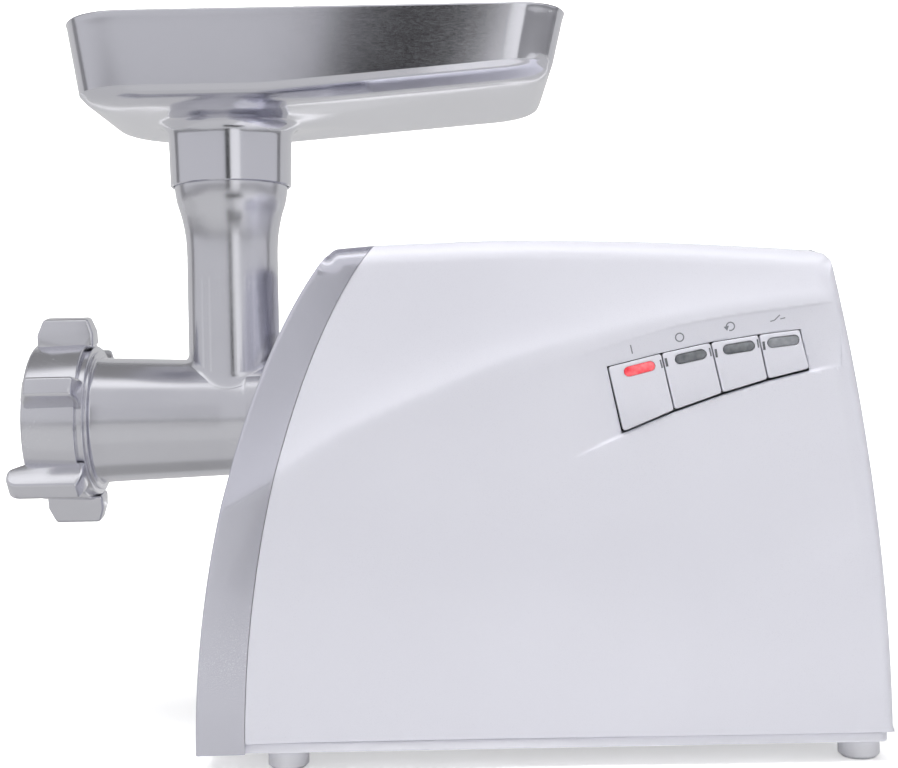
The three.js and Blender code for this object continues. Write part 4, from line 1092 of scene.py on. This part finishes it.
def add_buttons():
    """The hollow and the opening in the shell, and four caps with their windows."""
    around = {"foot": 0.75, "top": 0.1, "side": 0.35}  # the dark gap round the row
    feet = [(x, z - around["foot"]) for x, z in BUTTON_FEET]
    tops = [(x, z + around["top"]) for x, z in BUTTON_TOPS]
    for line in (feet, tops):
        line[0] = (line[0][0] - around["side"], line[0][1])
        line[-1] = (line[-1][0] + around["side"], line[-1][1])
    opening = [*feet, *tops[::-1]]
    cut(housing_control, recess_shape())
    cut(housing_control, plate(opening, -95, -70))
    looks = [("start", RED_LENS, "red_lens"), ("stop", DARK_LENS, "dark_lens"),
             ("reverse", DARK_LENS, "dark_lens"), ("reset", GREY_LENS, "dark_lens")]
    for i, (name, glass, slot) in enumerate(looks):
        a, b = Vector(BUTTON_FEET[i]), Vector(BUTTON_FEET[i + 1])
        d, c = Vector(BUTTON_TOPS[i]), Vector(BUTTON_TOPS[i + 1])
        outline = drawn_in([tuple(p) for p in (a, b, c, d)], 0.28)
        outline = rounded([(*p, 1.2) for p in outline], 4)
        cap = make(f"{name}_button_cap", *plate(outline, BUTTON_FACE, -79.6, "y", 0.5, 4), WHITE, name,
                   [f"{name}_button"], "white_shell")
        middle = (a + b + c + d) / 4
        join(cap, rod(3, -80.5, -77.4, middle, "y", 32))
        along = (c - d).normalized()
        up = Vector((-along.y, along.x))
        centre = (c + d) / 2 - up * 4.4 + along * 1.2

        def pill(grow):
            """The outline of the long window, grown a little."""
            radius, reach = 2.2 + grow, 4.8
            ends = [(end, radians(start + 15 * k)) for end, start in ((1, -90), (-1, 90))
                    for k in range(13)]
            return [tuple(centre + along * (end * reach + radius * cos(t))
                          + up * radius * sin(t)) for end, t in ends]

        def bar(end, width):
            """A slim dark window at one end of the cap, level with the lens."""
            edge = (b + c) / 2 if end > 0 else (a + d) / 2
            run = (c - b).normalized() if end > 0 else (d - a).normalized()
            at = edge + run * (centre - edge).dot(run) / max(run.dot(up), 0.5) * run.dot(up)
            at -= along * end * (width / 2 + 0.75)
            across, upright = along * width / 2, up * 1.9
            return [tuple(at + p) for p in (-across - upright, across - upright, across + upright,
                                            upright - across)]

        bars = [bar(1, 0.7)] * (i < 3) + [bar(-1, 1.1)] * (i > 0)
        for k, outline in enumerate(bars):
            cut(cap, plate(outline, -95, BUTTON_FACE + 1.2))
            make(f"{name}_side_window_{k + 1}", *plate(drawn_in(outline, 0.02), BUTTON_FACE + 0.12,
                                                       BUTTON_FACE + 1.1, "y", 0.15, 2),
                 DARK_LENS, name)
        cut(cap, plate(pill(0.2), -95, BUTTON_FACE + 1.6))
        make(f"{name}_lens_window", *plate(pill(-0.05), BUTTON_FACE + 0.1, BUTTON_FACE + 1.5, "y", 0.35),
             glass, name, [f"{name}_lens"], slot)
        shade(cap, 38)


# Where each button's sign stands over it.
SIGN_PLACES = [(89.2, 185.3), (110.6, 190.2), (133.2, 194.6), (154.2, 197.2)]


def ring_piece(radius, width, start, end, steps=24):
    """A part of a flat ring; angles are in degrees."""
    turns = np.radians(np.linspace(start, end, steps + 1))
    outer, inner = radius + width / 2, radius - width / 2
    outline = [(outer * cos(t), outer * sin(t)) for t in turns]
    return outline + [(inner * cos(t), inner * sin(t)) for t in turns[::-1]]


def add_signs():
    """Plain printed signs over the buttons: a bar, a ring, a turning arrow, and a tripped switch."""
    line, size, radius = 0.55, 2.0, 1.8
    tip_x, tip_z = -radius, -0.4
    signs = {
        "start": [rectangle(-line / 2, -size, line / 2, size)],
        "stop": [ring_piece(radius, line, start, start + 180) for start in (0, 180)],
        "reverse": [ring_piece(radius, line, -120, 165),
                    [(tip_x - 1.2, tip_z + 0.9), (tip_x, tip_z - 1.2), (tip_x + 1.2, tip_z + 0.9)]],
        "reset": [rectangle(-3.4, -0.2, -1.4, 0.25), rectangle(1.2, -0.2, 3.4, 0.25),
                  [(-1.5, 0.35), (-1.2, -0.05), (1.5, 1.6), (1.2, 2.0)]]}
    lean = 0.22  # about 13 degrees: the row of buttons climbs to the rear
    for (name, outlines), (x, z) in zip(signs.items(), SIGN_PLACES):
        pieces = []
        for outline in outlines:
            placed = [(x + a * cos(lean) - b * sin(lean),
                       z + a * sin(lean) + b * cos(lean)) for a, b in outline]
            pieces.append(stack([[(a, face_y(a, b) + depth, b) for a, b in placed]
                                 for depth in (-0.10, 0.35)]))
        make(f"{name}_sign", *merged(pieces), INK, "housing")


add_buttons()
add_signs()

# ------ carried-over CAD pieces
CARRIED = {
    STEEL: ["output_gear", "drive_coupling", "first_pinion_shaft", "second_pinion_shaft",
            "motor_pinion", "rotor_shaft", "bearing_front", "bearing_rear",
            "release_latch", "release_spring", "knife"],
    CAST: ["gearbox_case", "gearbox_cover", "motor_bracket_front", "motor_bracket_rear"],
    DARK_STEEL: ["motor_stator", "rotor_core"],
    COPPER: ["field_coil_lower", "field_coil_upper", "armature_winding_front",
             "armature_winding_rear", "commutator"],
    BRASS: ["output_bush", "brush_holder_control", "brush_holder_far"],
    NYLON: ["first_gear", "second_gear", "cooling_fan"],
    BLACK: ["switch_block", "carbon_brush_control", "carbon_brush_far"],
    GREY: ["overload_breaker"],
}
for material, names in CARRIED.items():
    for name in names:
        NODES[name].data.materials.clear()
        NODES[name].data.materials.append(material)
